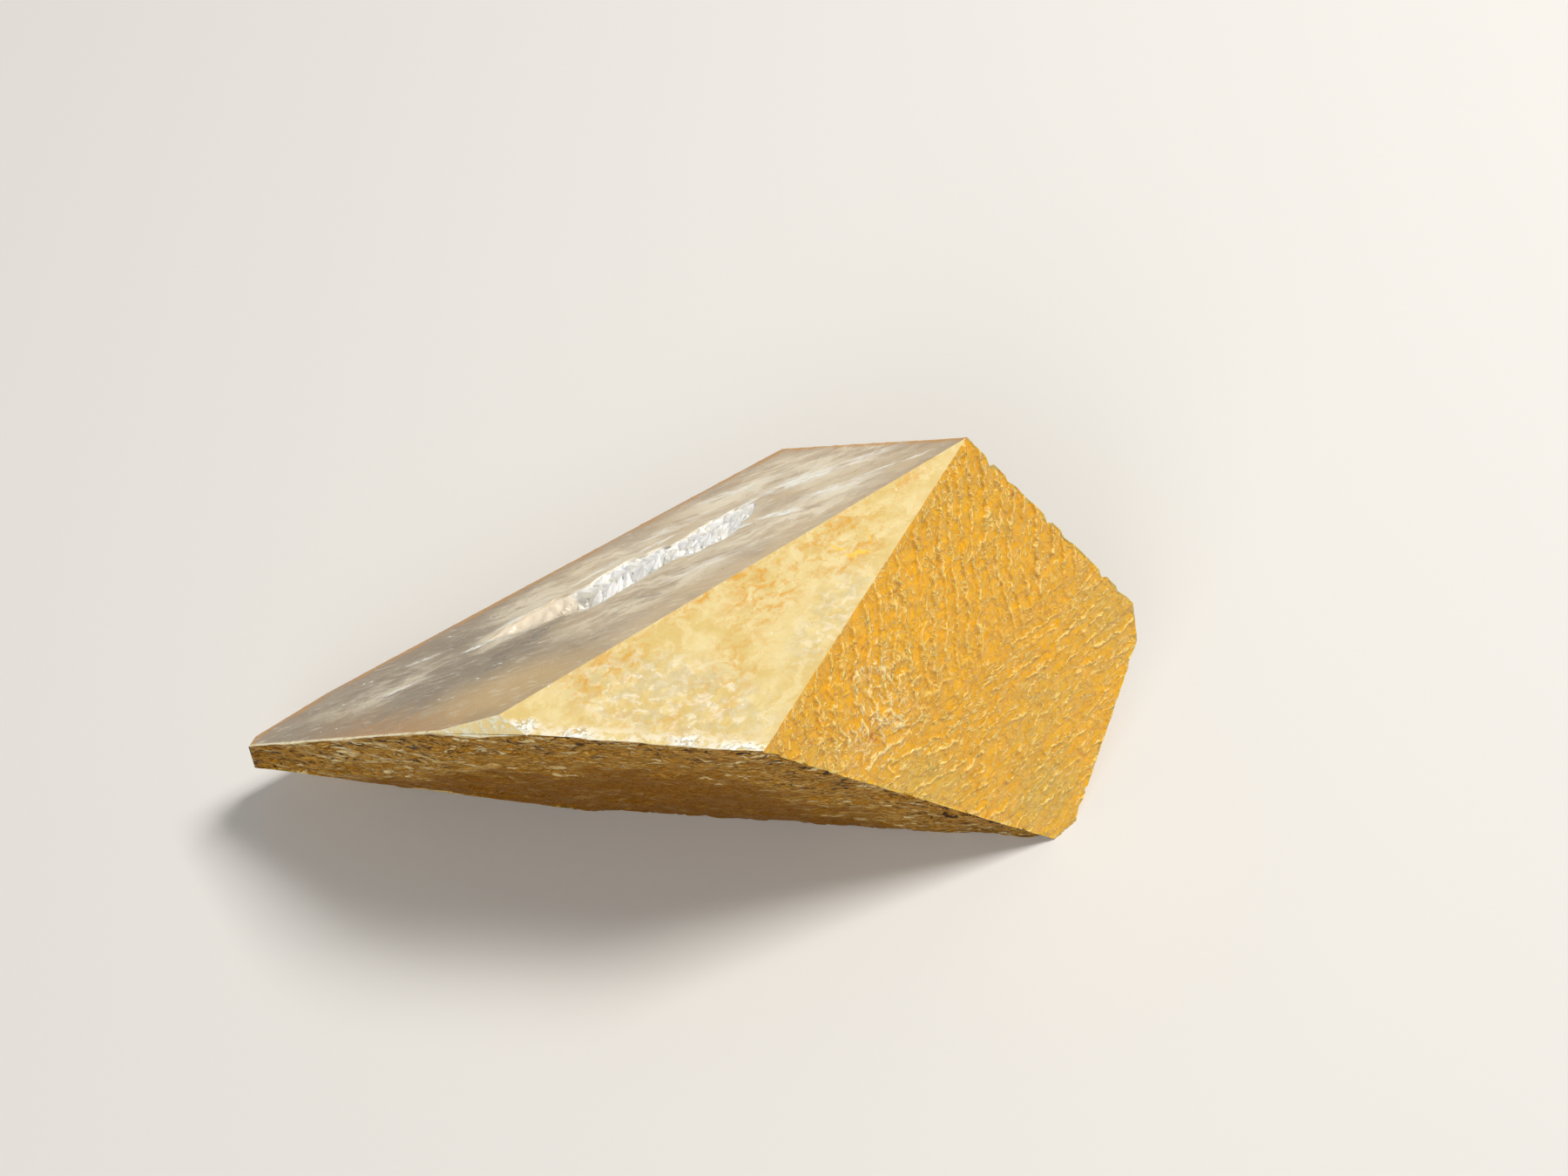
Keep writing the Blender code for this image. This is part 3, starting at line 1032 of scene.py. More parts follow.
class Bench:
    """A material's node tree, with the one way to add a node and the patterns built from nodes."""

    def __init__(self, name: str) -> None:
        """Starts a material with a Principled shader.

        Args:
            name: what the material is, and how its surface was made.
        """
        self.material = bpy.data.materials.new(name)
        self.material.use_nodes = True
        self.tree = self.material.node_tree
        self.shader = self.tree.nodes["Principled BSDF"]

    def add(self, kind: str, settings: dict | None = None, sockets: dict | tuple = (),
            out: int | str = 0) -> bpy.types.NodeSocket:
        """Adds a node.

        Args:
            kind: the node's type, without its leading "ShaderNode".
            settings: values of its properties.
            sockets: what goes into its inputs, by their names or in their order: a value, a hex
                colour or another node's output.
            out: name or number of the output that is wanted.

        Returns:
            That output.
        """
        node = self.tree.nodes.new("ShaderNode" + kind)
        for name, value in (settings or {}).items():
            setattr(node, name, value)
        for name, value in sockets.items() if isinstance(sockets, dict) else enumerate(sockets):
            self.feed(node.inputs[name], value)
        return node.outputs[out]

    def feed(self, socket: bpy.types.NodeSocket, value: object) -> None:
        """Sets an input to a value, or links another node's output to it.

        Args:
            socket: the input.
            value: a number, a vector, a hex colour or an output.
        """
        if isinstance(value, bpy.types.NodeSocket):
            self.tree.links.new(value, socket)
        elif isinstance(value, str):
            socket.default_value = linear(value)
        else:
            socket.default_value = value

    def finish(self, sockets: dict) -> bpy.types.Material:
        """Fills the shader's sockets.

        Args:
            sockets: what goes into them.

        Returns:
            The finished material.
        """
        for name, value in sockets.items():
            self.feed(self.shader.inputs[name], value)
        return self.material

    def stray(self, place: bpy.types.NodeSocket, size: float,
              amount: float) -> bpy.types.NodeSocket:
        """Pulls places about, so that what is drawn there gets a ragged outline.

        Args:
            place: in millimetres.
            size: of the raggedness.
            amount: how far a place may be pulled.

        Returns:
            The pulled place.
        """
        pull = self.add("TexNoise", None, {
            "Vector": place, "Scale": 1.0 / size, "Detail": STRAY_DETAIL}, "Color")
        centred = self.add("VectorMath", MINUS, (pull, (0.5, 0.5, 0.5)))
        return self.add("VectorMath", TIMES_PLUS, (centred, (amount * 2.0, amount * 2.0, 0.0), place))

    def draw(self, place: bpy.types.NodeSocket, grain: Grain) -> bpy.types.NodeSocket:
        """Draws a pattern.

        Args:
            place: in millimetres.
            grain: size and kind of its shapes.

        Returns:
            A mask, 1 inside the shapes.
        """
        local = {"Scale": 1.0, "Vector": self.add("Mapping", TURNED, {
            "Vector": place, "Location": (*(grain.seed * step for step in SEED_STEP), 0.0),
            "Rotation": (0.0, 0.0, math.radians(grain.turn)),
            "Scale": (grain.length, grain.width, grain.width)})}
        if grain.motif is Motif.CELLS:
            lot = self.add("TexVoronoi", None, local, "Color")
            value = self.add("SeparateColor", None, (lot,), "Green")
        elif grain.motif is Motif.CRACKS:
            value = self.add("TexVoronoi", {"feature": "DISTANCE_TO_EDGE"}, local, "Distance")
        else:
            value = self.add("TexNoise", None, local | {
                "Detail": grain.detail, "Roughness": FINE_SHARE[grain.motif],
                "Distortion": grain.bend})
            if grain.motif is Motif.LINES:
                value = self.add("Math", SIZE_OF, (self.add("Math", MINUS, (value, 0.5)),))
        return self.add("MapRange", SMOOTH, (value, grain.start, grain.full))

    def specks(self, place: bpy.types.NodeSocket, spacing: float, size: float,
               share: float) -> bpy.types.NodeSocket:
        """Scatters small specks.

        Args:
            place: in millimetres.
            spacing: of the cells that may hold a speck.
            size: radius of the largest speck.
            share: of the cells that hold one.

        Returns:
            A mask, 1 on the specks.
        """
        cells = self.add("TexVoronoi", None, {"Vector": place, "Scale": 1.0 / spacing}, "Distance")
        lot = self.add("SeparateColor", None, (cells.node.outputs["Color"],), "Red")
        radius = self.add("MapRange", None, (lot, 1.0 - share, 1.0, 0.0, size / spacing))
        inside = self.add("Math", MINUS, (radius, cells))
        return self.add("MapRange", None, (inside, 0.0, SPECK_BORDER * size / spacing))

    def zone(self, place: bpy.types.NodeSocket, *patches: Patch) -> bpy.types.NodeSocket:
        """Marks soft ovals at given places.

        Args:
            place: in millimetres.
            patches: the ovals.

        Returns:
            A mask, the strength of the nearest oval.
        """
        total = 0.0
        for patch in patches:
            local = self.add("Mapping", TURNED, {
                "Vector": place, "Location": (patch.along, patch.across, 0.0),
                "Rotation": (0.0, 0.0, math.radians(patch.turn)),
                "Scale": (patch.length, patch.width, 1.0)})
            away = self.add("VectorMath", LENGTH, (local,), "Value")
            share = self.add("MapRange", SMOOTH, (away, 1.0, OVAL_CORE, 0.0, patch.strength))
            total = self.add("Math", MOST, (total, share))
        return total

    def depth_under(self, *names: str) -> bpy.types.NodeSocket:
        """Measures how deep a place lies under the nearest of some facets.

        Args:
            names: of the facets.

        Returns:
            The depth in millimetres.
        """
        metres = self.add("TexCoord", out="Object")
        least = None
        for facet in FACETS:
            if facet.name not in names:
                continue
            reach = self.add("VectorMath", DOT, (metres, facet.normal / MM), "Value")
            depth = self.add("Math", MINUS, (facet.distance, reach))
            least = self.add("Math", LEAST, (least or depth, depth))
        return least

    def overlap(self, *masks: bpy.types.NodeSocket | float) -> bpy.types.NodeSocket:
        """Puts masks over one another.

        Args:
            masks: to put together; a number weakens the whole.

        Returns:
            The mask that is 1 only where all the given ones are.
        """
        common = masks[0]
        for mask in masks[1:]:
            common = self.add("Math", TIMES, (common, mask))
        return common

    def stack(self, base: str | bpy.types.NodeSocket, *layers: tuple) -> bpy.types.NodeSocket:
        """Lays colours over one another.

        Args:
            base: the colour that is under all others.
            layers: a mask, a colour and, if it isn't 1, the strength of each layer, from the
                lowest to the uppermost.

        Returns:
            The colour that shows.
        """
        colour = base
        for mask, over, *strength in layers:
            colour = self.add("Mix", {"data_type": "RGBA"}, {
                MIX_FACTOR: self.overlap(mask, *strength), MIX_A: colour, MIX_B: over}, MIX_OUT)
        return colour

    def bumps(self, *heights: tuple[bpy.types.NodeSocket, float]) -> bpy.types.NodeSocket:
        """Raises fine relief that the mesh doesn't carry.

        Args:
            heights: a mask and the height in millimetres that it stands for, for each.

        Returns:
            The normal of the surface.
        """
        normal = None
        for mask, height in heights:
            sockets = {"Height": mask, "Distance": abs(height) * MM, "Strength": 1.0}
            if normal is not None:
                sockets["Normal"] = normal
            normal = self.add("Bump", {"invert": height < 0.0}, sockets)
        return normal


@dataclass(frozen=True)
class PolishedQuartz:
    """Milky quartz, sawn and polished: glassy beige with drawn-out haze, white threads and glints.

    The clouds are 3 to 5 mm long and lie along the growth, as do the threads. The polish itself
    has no grain that shows: it gives a thin clear gleam over light that spreads below it.
    """

    body: str = "#CBB48E"
    grey: str = "#A89680"
    shade: str = "#84735A"
    warm: str = "#D2B070"
    haze: str = "#F0E4C8"
    veil: str = "#FFFDF2"
    smoke: str = "#7C7060"
    stain: str = "#C08A36"
    brown: str = "#A08468"
    lip: str = "#F3E4B8"
    spread: tuple[float, float, float] = (1.0, 0.85, 0.6)  # red light gets furthest in the quartz
    # Clouds in the quartz, and the finer wisps and threads in them
    tone_grain: Grain = Grain(5.0, 2.4, 0.40, 0.62, 26.0, 3.0, 0.6, 1)
    haze_grain: Grain = Grain(4.5, 1.5, 0.36, 0.64, 22.0, 4.0, 0.8, 2)
    wisp_grain: Grain = Grain(2.8, 0.55, 0.46, 0.68, 26.0, 4.0, 0.8, 3)
    thread_grain: Grain = Grain(1.5, 0.20, 0.54, 0.72, 30.0, 3.0, 0.5, 4)
    clouds: tuple[Patch, ...] = (
        Patch(6.0, 6.5, 7.5, 3.4, 28.0), Patch(11.0, 9.5, 8.0, 3.4, 22.0, 0.9),
        Patch(11.0, 3.2, 8.0, 3.0, 14.0), Patch(20.0, 4.2, 9.0, 2.8, 8.0, 0.8),
        Patch(24.5, 11.6, 9.0, 2.2, 8.0, 0.9), Patch(29.5, 9.6, 3.5, 1.6, 14.0),
        Patch(38.0, 11.6, 7.0, 2.6, 18.0, 0.5))
    # The quartz is milky right beside the hollow
    milk: tuple[Patch, ...] = (
        Patch(15.5, 7.2, 5.0, 2.6, 4.0, 0.75), Patch(21.5, 8.2, 5.5, 3.0, 4.0, 0.75),
        Patch(27.0, 9.6, 5.0, 2.2, 8.0, 0.6))
    # Clear lenses look dark, because light goes in there and doesn't come back
    lens_grain: Grain = Grain(1.3, 0.40, 0.47, 0.60, 20.0, 3.0, 0.5, 5)
    lenses: tuple[Patch, ...] = (
        Patch(29.6, 7.0, 5.2, 1.9, -8.0), Patch(25.7, 2.6, 2.2, 1.2, 0.0, 0.7),
        Patch(22.0, 3.9, 4.6, 1.3, 8.0, 0.7), Patch(32.6, 12.0, 2.4, 1.3, 6.0, 0.8),
        Patch(37.5, 9.2, 4.5, 1.8, 6.0, 0.5))
    # Healed cracks shine white, and so do thin veils
    crack_grain: Grain = Grain(0.7, 0.2, 0.32, 0.50, 26.0, 3.0, 0.0, 6)
    cracks: tuple[Patch, ...] = (
        Patch(14.4, 7.2, 1.3, 0.34, 135.0), Patch(13.0, 7.9, 1.7, 0.40, 176.0),
        Patch(14.2, 5.6, 1.8, 0.32, 29.0), Patch(11.3, 4.0, 1.6, 0.40, 38.0),
        Patch(12.2, 4.8, 1.2, 0.24, 35.0), Patch(28.4, 10.5, 2.2, 0.36, 8.0),
        Patch(30.2, 9.8, 1.6, 0.30, 12.0), Patch(23.0, 10.6, 2.6, 0.26, 4.0, 0.8),
        Patch(18.6, 9.7, 2.2, 0.26, 12.0, 0.8), Patch(31.8, 10.1, 1.2, 0.26, 20.0),
        Patch(37.1, 10.4, 1.5, 0.22, 14.0, 0.9), Patch(35.2, 12.6, 2.0, 0.22, 24.0, 0.7),
        Patch(5.0, 2.4, 1.6, 0.20, 24.0, 0.8), Patch(3.0, 1.4, 1.2, 0.16, 24.0, 0.8))
    veil_grain: Grain = Grain(1.6, 0.30, 0.34, 0.60, 28.0, 5.0, 0.4, 8)
    veils: tuple[Patch, ...] = (
        Patch(9.0, 6.9, 4.6, 0.9, 28.0), Patch(8.0, 3.3, 3.6, 0.7, 26.0, 0.9),
        Patch(5.6, 5.2, 4.0, 0.7, 30.0, 0.8), Patch(12.6, 10.6, 4.0, 0.8, 24.0, 0.8),
        Patch(17.5, 10.6, 4.6, 0.7, 18.0, 0.7), Patch(17.0, 3.4, 5.0, 0.6, 20.0, 0.6))
    # The quartz is darker towards the tip, and iron has coloured it at the nose and the top end
    tip_from: float = 22.0
    tip_full: float = 31.0
    nose: Patch = Patch(31.0, 2.4, 9.0, 3.8, 24.0, 0.75)
    top_end: tuple[Patch, ...] = (
        Patch(3.0, 12.5, 10.0, 3.0, 62.0, 0.8), Patch(4.0, 0.0, 6.0, 1.2, 10.0, 0.5))
    # Iron has seeped in from the rind, 0.3 to 2 mm deep: where that begins to show and is full
    seep_grain: Grain = Grain(2.5, 1.0, 0.3, 0.7, 0.0, 3.0, 0.0, 7)
    rim: tuple[float, float] = (0.32, -0.1)
    halo: tuple[float, float] = (1.6, 0.0)
    seep: tuple[float, float] = (2.6, -0.6)
    seeped: Patch = Patch(36.5, 8.0, 9.5, 12.0)
    # Where the polish meets the front, the edge is crushed white
    lip_grain: Grain = Grain(0.5, 0.5, 0.30, 0.50, 0.0, 3.0, 0.0, 9)
    lip_reach: tuple[float, float] = (0.28, 0.12)
    # Pores that the saw opened glint; their glints are painted highlights, white specks drawn out
    # along this way, to this share of their length. The real pores are finer, and these are just
    # wide enough to show
    pore_way: float = 40.0
    pore_width: float = 0.3

    def make(self) -> bpy.types.Material:
        """Makes the material.

        Returns:
            The finished material.
        """
        bench = Bench("milky quartz, sawn and polished")
        place = bench.add("UVMap", {"uv_map": FACET_MAP})
        ragged = bench.stray(place, 1.6, 0.7)
        frayed = bench.stray(place, 0.6, 0.24)
        tone = bench.draw(place, self.tone_grain)
        haze = bench.draw(ragged, self.haze_grain)
        wisps = bench.draw(frayed, self.wisp_grain)
        threads = bench.draw(frayed, self.thread_grain)
        down = bench.add("SeparateXYZ", None, (ragged,), "X")
        towards_tip = bench.add("MapRange", SMOOTH, (down, self.tip_from, self.tip_full))
        thick = bench.add("MapRange", SMOOTH, (bench.zone(ragged, *self.clouds), -0.25, 0.9))
        milk = bench.zone(ragged, *self.milk)
        lenses = bench.overlap(
            bench.draw(frayed, self.lens_grain), bench.zone(ragged, *self.lenses))
        bright = bench.overlap(
            bench.zone(frayed, *self.cracks), bench.draw(place, self.crack_grain))
        veils = bench.overlap(bench.zone(frayed, *self.veils), bench.draw(frayed, self.veil_grain))
        uneven = bench.draw(place, self.seep_grain)
        rear = bench.depth_under("back", "back tip, long", "back tip, short", "tip end")
        rear = bench.add("Math", TIMES_PLUS, (uneven, -0.3, rear))
        rim = bench.add("MapRange", SMOOTH, (rear, *self.rim, 0.0, 0.85))
        halo = bench.add("MapRange", SMOOTH, (rear, *self.halo, 0.0, 0.5))
        fore = bench.depth_under("front", "front tip, upper")
        fore = bench.add("Math", TIMES_PLUS, (uneven, -1.2, fore))
        seep = bench.overlap(bench.add("MapRange", SMOOTH, (fore, *self.seep, 0.0, 0.55)),
                             bench.zone(place, self.seeped))
        edge = bench.depth_under("front tip, upper")
        lip = bench.overlap(bench.add("MapRange", SMOOTH, (edge, *self.lip_reach)),
                            bench.draw(place, self.lip_grain))
        near_nose = bench.zone(ragged, self.nose)
        top_end = bench.zone(ragged, *self.top_end)
        drawn_out = bench.add("Mapping", TURNED, {
            "Vector": place, "Rotation": (0.0, 0.0, math.radians(self.pore_way)),
            "Scale": (1.0, self.pore_width, 1.0)})
        # Painted highlights: white glints of the pores, towards the tip
        glints = bench.overlap(bench.specks(drawn_out, 1.1, 0.20, 0.30), towards_tip)
        # Painted highlights: fine white sparkles over the polish
        painted_sparkles = bench.specks(place, 0.7, 0.08, 0.20)
        colour = bench.stack(
            self.body, (tone, self.grey, 0.5), (towards_tip, self.shade, 0.9),
            (near_nose, self.warm), (top_end, self.brown), (halo, self.brown),
            (bench.overlap(haze, thick), self.haze, 0.9), (milk, self.haze),
            (lenses, self.smoke, 0.8), (bench.overlap(wisps, thick), self.haze, 0.6),
            (threads, self.veil, 0.35), (veils, self.veil, 0.9), (seep, self.stain),
            (rim, self.stain), (bright, self.veil), (glints, self.veil), (painted_sparkles, self.veil),
            (lip, self.lip))
        return bench.finish({
            "Base Color": colour,
            "Roughness": bench.add("MapRange", SMOOTH, (haze, -2.0, 3.0, 0.0, 0.5)),
            "IOR": QUARTZ_IOR, "Subsurface Weight": 0.5,
            "Subsurface Radius": self.spread, "Subsurface Scale": 1.0 * MM,
            "Coat Weight": 0.2, "Coat Roughness": 0.05, "Coat IOR": QUARTZ_IOR,
            "Normal": bench.bumps((lenses, -0.008), (bright, 0.02), (glints, 0.01))})


@dataclass(frozen=True)
class CreamRind:
    """Chalcedony rind, grown smooth on a flat plate: cream with a fine curdled stain of iron.

    The curds are about half a millimetre across, and the washes of stain between them 1 to 3 mm.
    The skin is finer still, 0.01 mm and less: it is drawn as grains of 0.5 mm that only dull the
    gleam.
    """

    body: str = "#E0C67C"
    pale: str = "#EEDCA4"
    clear: str = "#CFC093"
    stain: str = "#E0A42A"
    tan: str = "#D8AC58"
    yellow: str = "#FBD04A"
    frost: str = "#FFFBEF"
    spread: tuple[float, float, float] = (1.0, 0.8, 0.5)
    tone_grain: Grain = Grain(3.0, 2.0, 0.40, 0.60, 20.0, 4.0, 0.6, 1)
    pale_grain: Grain = Grain(1.3, 0.9, 0.48, 0.62, 40.0, 4.0, 0.6, 9)
    skin_grain: Grain = Grain(0.5, 0.35, 0.3, 0.7, 0.0, 4.0, 0.0, 7)
    # Iron stain: broad washes, with curds and a net of darker lines in them
    wash_grain: Grain = Grain(1.6, 0.9, 0.46, 0.64, 28.0, 5.0, 0.8, 2)
    curd_grain: Grain = Grain(0.55, 0.34, 0.50, 0.62, 25.0, 3.0, 0.6, 3)
    net_grain: Grain = Grain(0.95, 0.65, 0.16, 0.03, 25.0, seed=4, motif=Motif.CRACKS)
    stained: tuple[Patch, ...] = (
        Patch(1.5, 5.8, 6.5, 2.2, 30.0), Patch(4.6, 5.0, 4.6, 2.6, 50.0, 0.9),
        Patch(9.2, 8.0, 5.0, 3.0, 30.0, 0.9), Patch(-4.5, 0.8, 5.0, 2.2, 30.0, 0.7),
        Patch(13.0, 11.4, 4.0, 1.4, 35.0, 0.5), Patch(2.5, 0.5, 4.5, 2.4, 60.0, 0.5),
        Patch(-3.0, -2.4, 6.0, 1.4, -5.0, 0.4))
    # Low on the facet the stain gives way to pale crumbs and clear seams
    crumb_grain: Grain = Grain(0.8, 0.5, 0.47, 0.60, 10.0, 3.0, 0.4, 5)
    seam_grain: Grain = Grain(1.3, 0.9, 0.06, 0.01, 20.0, 2.0, 0.5, 10, Motif.LINES)
    dull_grain: Grain = Grain(0.75, 0.50, 0.40, 0.25, 15.0, seed=11, motif=Motif.CELLS)
    crumbly: tuple[Patch, ...] = (
        Patch(-1.0, -1.2, 8.5, 3.4, -10.0), Patch(8.4, 3.4, 6.0, 2.0, 52.0, 0.6))
    streak_grain: Grain = Grain(0.6, 0.2, 0.34, 0.52, 20.0, 3.0, 0.0, 12)
    streaks: tuple[Patch, ...] = (
        Patch(10.2, 7.0, 1.3, 0.16, 12.0), Patch(9.0, 7.3, 0.8, 0.16, 160.0, 0.7),
        Patch(10.9, 8.0, 0.8, 0.12, 100.0, 0.6))
    # The edge over the front is chipped and frosted; the white there is partly real and partly a
    # painted highlight on the edge
    chip_grain: Grain = Grain(0.45, 0.25, 0.40, 0.52, 20.0, 3.0, 0.0, 8)
    chipped: tuple[Patch, ...] = (
        Patch(-6.6, -3.2, 1.6, 0.55, 8.0), Patch(-0.2, -3.8, 1.5, 0.55, 0.0),
        Patch(3.0, -4.3, 2.2, 0.55, -6.0), Patch(-9.6, -2.6, 1.4, 0.6))
    frost_grain: Grain = Grain(0.7, 0.4, 0.42, 0.56, 0.0, 3.0, 0.0, 6)
    frost_reach: tuple[float, float] = (1.1, 0.15)

    def make(self) -> bpy.types.Material:
        """Makes the material.

        Returns:
            The finished material.
        """
        bench = Bench("chalcedony rind, grown smooth")
        place = bench.add("UVMap", {"uv_map": FACET_MAP})
        ragged = bench.stray(place, 1.2, 0.5)
        curdled = bench.stray(place, 0.5, 0.30)
        tone = bench.draw(ragged, self.tone_grain)
        pale = bench.draw(ragged, self.pale_grain)
        where = bench.zone(ragged, *self.stained)
        spread = bench.add("MapRange", SMOOTH, (where, -0.35, 1.0))
        heart = bench.add("MapRange", SMOOTH, (where, 0.0, 0.7))
        wash = bench.overlap(bench.draw(ragged, self.wash_grain), spread, 0.55)
        curds = bench.overlap(bench.draw(curdled, self.curd_grain), spread, 0.5)
        net = bench.overlap(bench.draw(curdled, self.net_grain), heart, wash, 1.5)
        low = bench.add("MapRange", SMOOTH, (bench.zone(ragged, *self.crumbly), -0.1, 0.9))
        crumbs = bench.overlap(bench.draw(curdled, self.crumb_grain), low)
        seams = bench.overlap(bench.draw(curdled, self.seam_grain), low)
        dull = bench.overlap(bench.draw(curdled, self.dull_grain), low)
        streak = bench.overlap(
            bench.zone(curdled, *self.streaks), bench.draw(place, self.streak_grain))
        # Chips and frost along the front edge, partly a painted highlight on it
        chips = bench.overlap(
            bench.zone(curdled, *self.chipped), bench.draw(place, self.chip_grain))
        rim = bench.depth_under("front", "front tip, upper")
        frost = bench.overlap(bench.draw(curdled, self.frost_grain),
                              bench.add("MapRange", SMOOTH, (rim, *self.frost_reach)))
        # Painted highlights: fine white sparkles over the rind
        painted_sparkles = bench.specks(place, 0.45, 0.06, 0.14)
        colour = bench.stack(
            self.body, (tone, self.pale, 0.6), (pale, self.pale, 0.7), (crumbs, self.frost, 0.45),
            (seams, self.clear, 0.45), (dull, self.clear, 0.5), (wash, self.tan),
            (curds, self.stain), (net, self.stain), (streak, self.yellow),
            (frost, self.frost, 0.6), (chips, self.frost), (painted_sparkles, self.frost))
        skin = bench.draw(place, self.skin_grain)
        return bench.finish({
            "Base Color": colour,
            "Roughness": bench.add("MapRange", SMOOTH, (skin, -1.5, 2.2, 0.0, 0.75)),
            "IOR": QUARTZ_IOR, "Subsurface Weight": 0.3,
            "Subsurface Radius": self.spread, "Subsurface Scale": 0.5 * MM,
            "Coat Weight": 0.2, "Coat Roughness": 0.18, "Coat IOR": QUARTZ_IOR,
            "Normal": bench.bumps((skin, 0.006), (curds, 0.02), (seams, -0.0045), (chips, 0.08))})


@dataclass(frozen=True)
class RidgedRind:
    """Agate rind stained by iron, grown against rough laths: waxy amber with golden welts.

    The mesh carries the welts, about 0.9 mm apart. Threads run between them, about 0.5 mm apart
    and a tenth of that wide, and a mottle of 0.6 to 0.9 mm makes the gleam uneven, like wax.
    """

    name: str = "iron-stained agate rind, grown against laths"
    ground: str = "#F4B20A"
    deep: str = "#F8B410"
    dull: str = "#DCA028"
    # Pale of the threads and of the welt tops; on the tops it is partly a painted highlight
    crest: str = "#FFE08A"
    # Painted highlight on the welts in the tangle
    painted_glare: str = "#FFF3CC"
    clear: str = "#DCB044"
    rust: str = "#BC701E"
    spread: tuple[float, float, float] = (1.0, 0.55, 0.12)
    turn_rise: float = 3.9  # height on the facet at which the threads turn from level to steep
    turn_reach: float = 2.5
    tone_grain: Grain = Grain(3.2, 1.8, 0.36, 0.66, 30.0, 4.0, 0.6, 1)
    mottle_grain: Grain = Grain(0.9, 0.6, 0.36, 0.64, 60.0, 2.5, 0.5, 8)
    vivid_grain: Grain = Grain(1.6, 0.9, 0.30, 0.52, 70.0, 4.0, 0.5, 2)
    vivid: tuple[Patch, ...] = (
        Patch(9.5, 9.5, 6.5, 5.5, 0.0), Patch(3.5, 10.0, 6.0, 1.8, 27.0),
        Patch(14.0, 7.0, 5.0, 3.0, 0.0, 0.7))
    faint: tuple[Patch, ...] = (
        Patch(4.0, -1.5, 5.5, 3.0, -50.0, 0.9), Patch(11.5, -8.5, 4.5, 4.0, 0.0),
        Patch(-1.0, 5.0, 3.0, 1.8, -20.0, 0.5), Patch(21.0, 0.0, 4.0, 4.5, 0.0, 0.7),
        Patch(14.0, -3.0, 6.0, 3.5, 0.0, 0.5))
    rust_grain: Grain = Grain(0.7, 0.3, 0.56, 0.64, 20.0, 3.0, 0.6, 3)
    rusty: tuple[Patch, ...] = (
        Patch(-1.6, 7.0, 2.6, 1.9), Patch(1.2, 4.2, 2.0, 1.6, 0.0, 0.9),
        Patch(2.6, 9.4, 3.0, 1.4, 30.0, 0.8))
    tangle: tuple[Patch, ...] = (Patch(2.4, 4.4, 4.2, 3.6), Patch(3.4, 8.2, 3.0, 2.2, 30.0, 0.6))
    # Thin golden threads beside the welts, with gaps: steep ones, level ones and rungs in places
    gap_grain: Grain = Grain(1.3, 1.0, 0.36, 0.50, 40.0, 2.0, 0.0, 9)
    place_grain: Grain = Grain(1.6, 1.2, 0.50, 0.62, 10.0, 2.0, 0.0, 12)
    steep_grain: Grain = Grain(1.9, 0.50, 0.036, 0.008, 73.0, 2.0, 0.3, 4, Motif.LINES)
    level_grain: Grain = Grain(1.9, 0.48, 0.036, 0.008, 3.0, 2.0, 0.3, 5, Motif.LINES)
    rung_grain: Grain = Grain(0.9, 0.42, 0.034, 0.008, -16.0, 2.0, 0.3, 6, Motif.LINES)

    def make(self) -> bpy.types.Material:
        """Makes the material.

        Returns:
            The finished material.
        """
        bench = Bench(self.name)
        place = bench.add("UVMap", {"uv_map": FACET_MAP})
        ragged = bench.stray(place, 2.0, 1.2)
        pulled = bench.stray(place, 0.5, 0.20)
        rise = bench.add("SeparateXYZ", None, (ragged,), "Y")
        turn, reach = self.turn_rise, self.turn_reach
        upper = bench.add("MapRange", SMOOTH, (rise, turn - reach, turn + reach))
        lower = bench.add("MapRange", SMOOTH, (rise, turn + reach, turn - reach))
        crest = bench.add("Attribute", {"attribute_name": CREST}, out="Fac")
        tint = bench.add("Attribute", {"attribute_name": TINT}, out="Fac")
        tone = bench.draw(place, self.tone_grain)
        mottle = bench.draw(place, self.mottle_grain)
        vivid = bench.overlap(bench.zone(ragged, *self.vivid), bench.draw(place, self.vivid_grain))
        faint = bench.zone(ragged, *self.faint)
        rusty = bench.overlap(bench.zone(ragged, *self.rusty), bench.draw(place, self.rust_grain))
        broken = bench.draw(place, self.gap_grain)
        steep = bench.overlap(upper, broken, bench.draw(pulled, self.steep_grain))
        level = bench.overlap(lower, broken, bench.draw(pulled, self.level_grain))
        rungs = bench.overlap(
            bench.draw(place, self.place_grain), bench.draw(pulled, self.rung_grain))
        threads = bench.add("Math", MOST, (bench.add("Math", MOST, (steep, level)), rungs))
        # The tops of the welts are pale, partly worn and partly a painted highlight, which is
        # brightest as painted glare in the tangle; their feet are darkened in the rust colour as
        # painted shade
        tops = bench.add("MapRange", SMOOTH, (crest, 0.40, 0.95))
        painted_glare = bench.overlap(
            bench.add("Math", MOST, (threads, tops)), bench.zone(ragged, *self.tangle))
        # Painted shade at the feet of the welts, in the rust colour
        foot = bench.overlap(bench.add("MapRange", SMOOTH, (crest, 0.01, 0.12)),
                             bench.add("MapRange", SMOOTH, (crest, 0.55, 0.2)))
        colour = bench.stack(
            self.ground, (tone, self.dull, 0.7), (vivid, self.deep), (faint, self.clear),
            (mottle, self.clear, 0.3), (tint, self.clear, 0.2), (rusty, self.rust),
            (foot, self.rust, 0.16), (threads, self.crest, 0.6), (tops, self.crest, 0.85),
            (painted_glare, self.painted_glare, 0.55))
        return bench.finish({
            "Base Color": colour,
            "Roughness": bench.add("MapRange", SMOOTH, (mottle, -0.9, 1.8, 0.0, 0.6)),
            "IOR": QUARTZ_IOR, "Subsurface Weight": 0.35,
            "Subsurface Radius": self.spread, "Subsurface Scale": 0.6 * MM,
            "Specular IOR Level": 0.35,
            "Coat Weight": 0.35, "Coat Roughness": 0.10, "Coat IOR": QUARTZ_IOR,
            "Normal": bench.bumps((mottle, 0.06), (threads, 0.07), (tops, 0.03))})


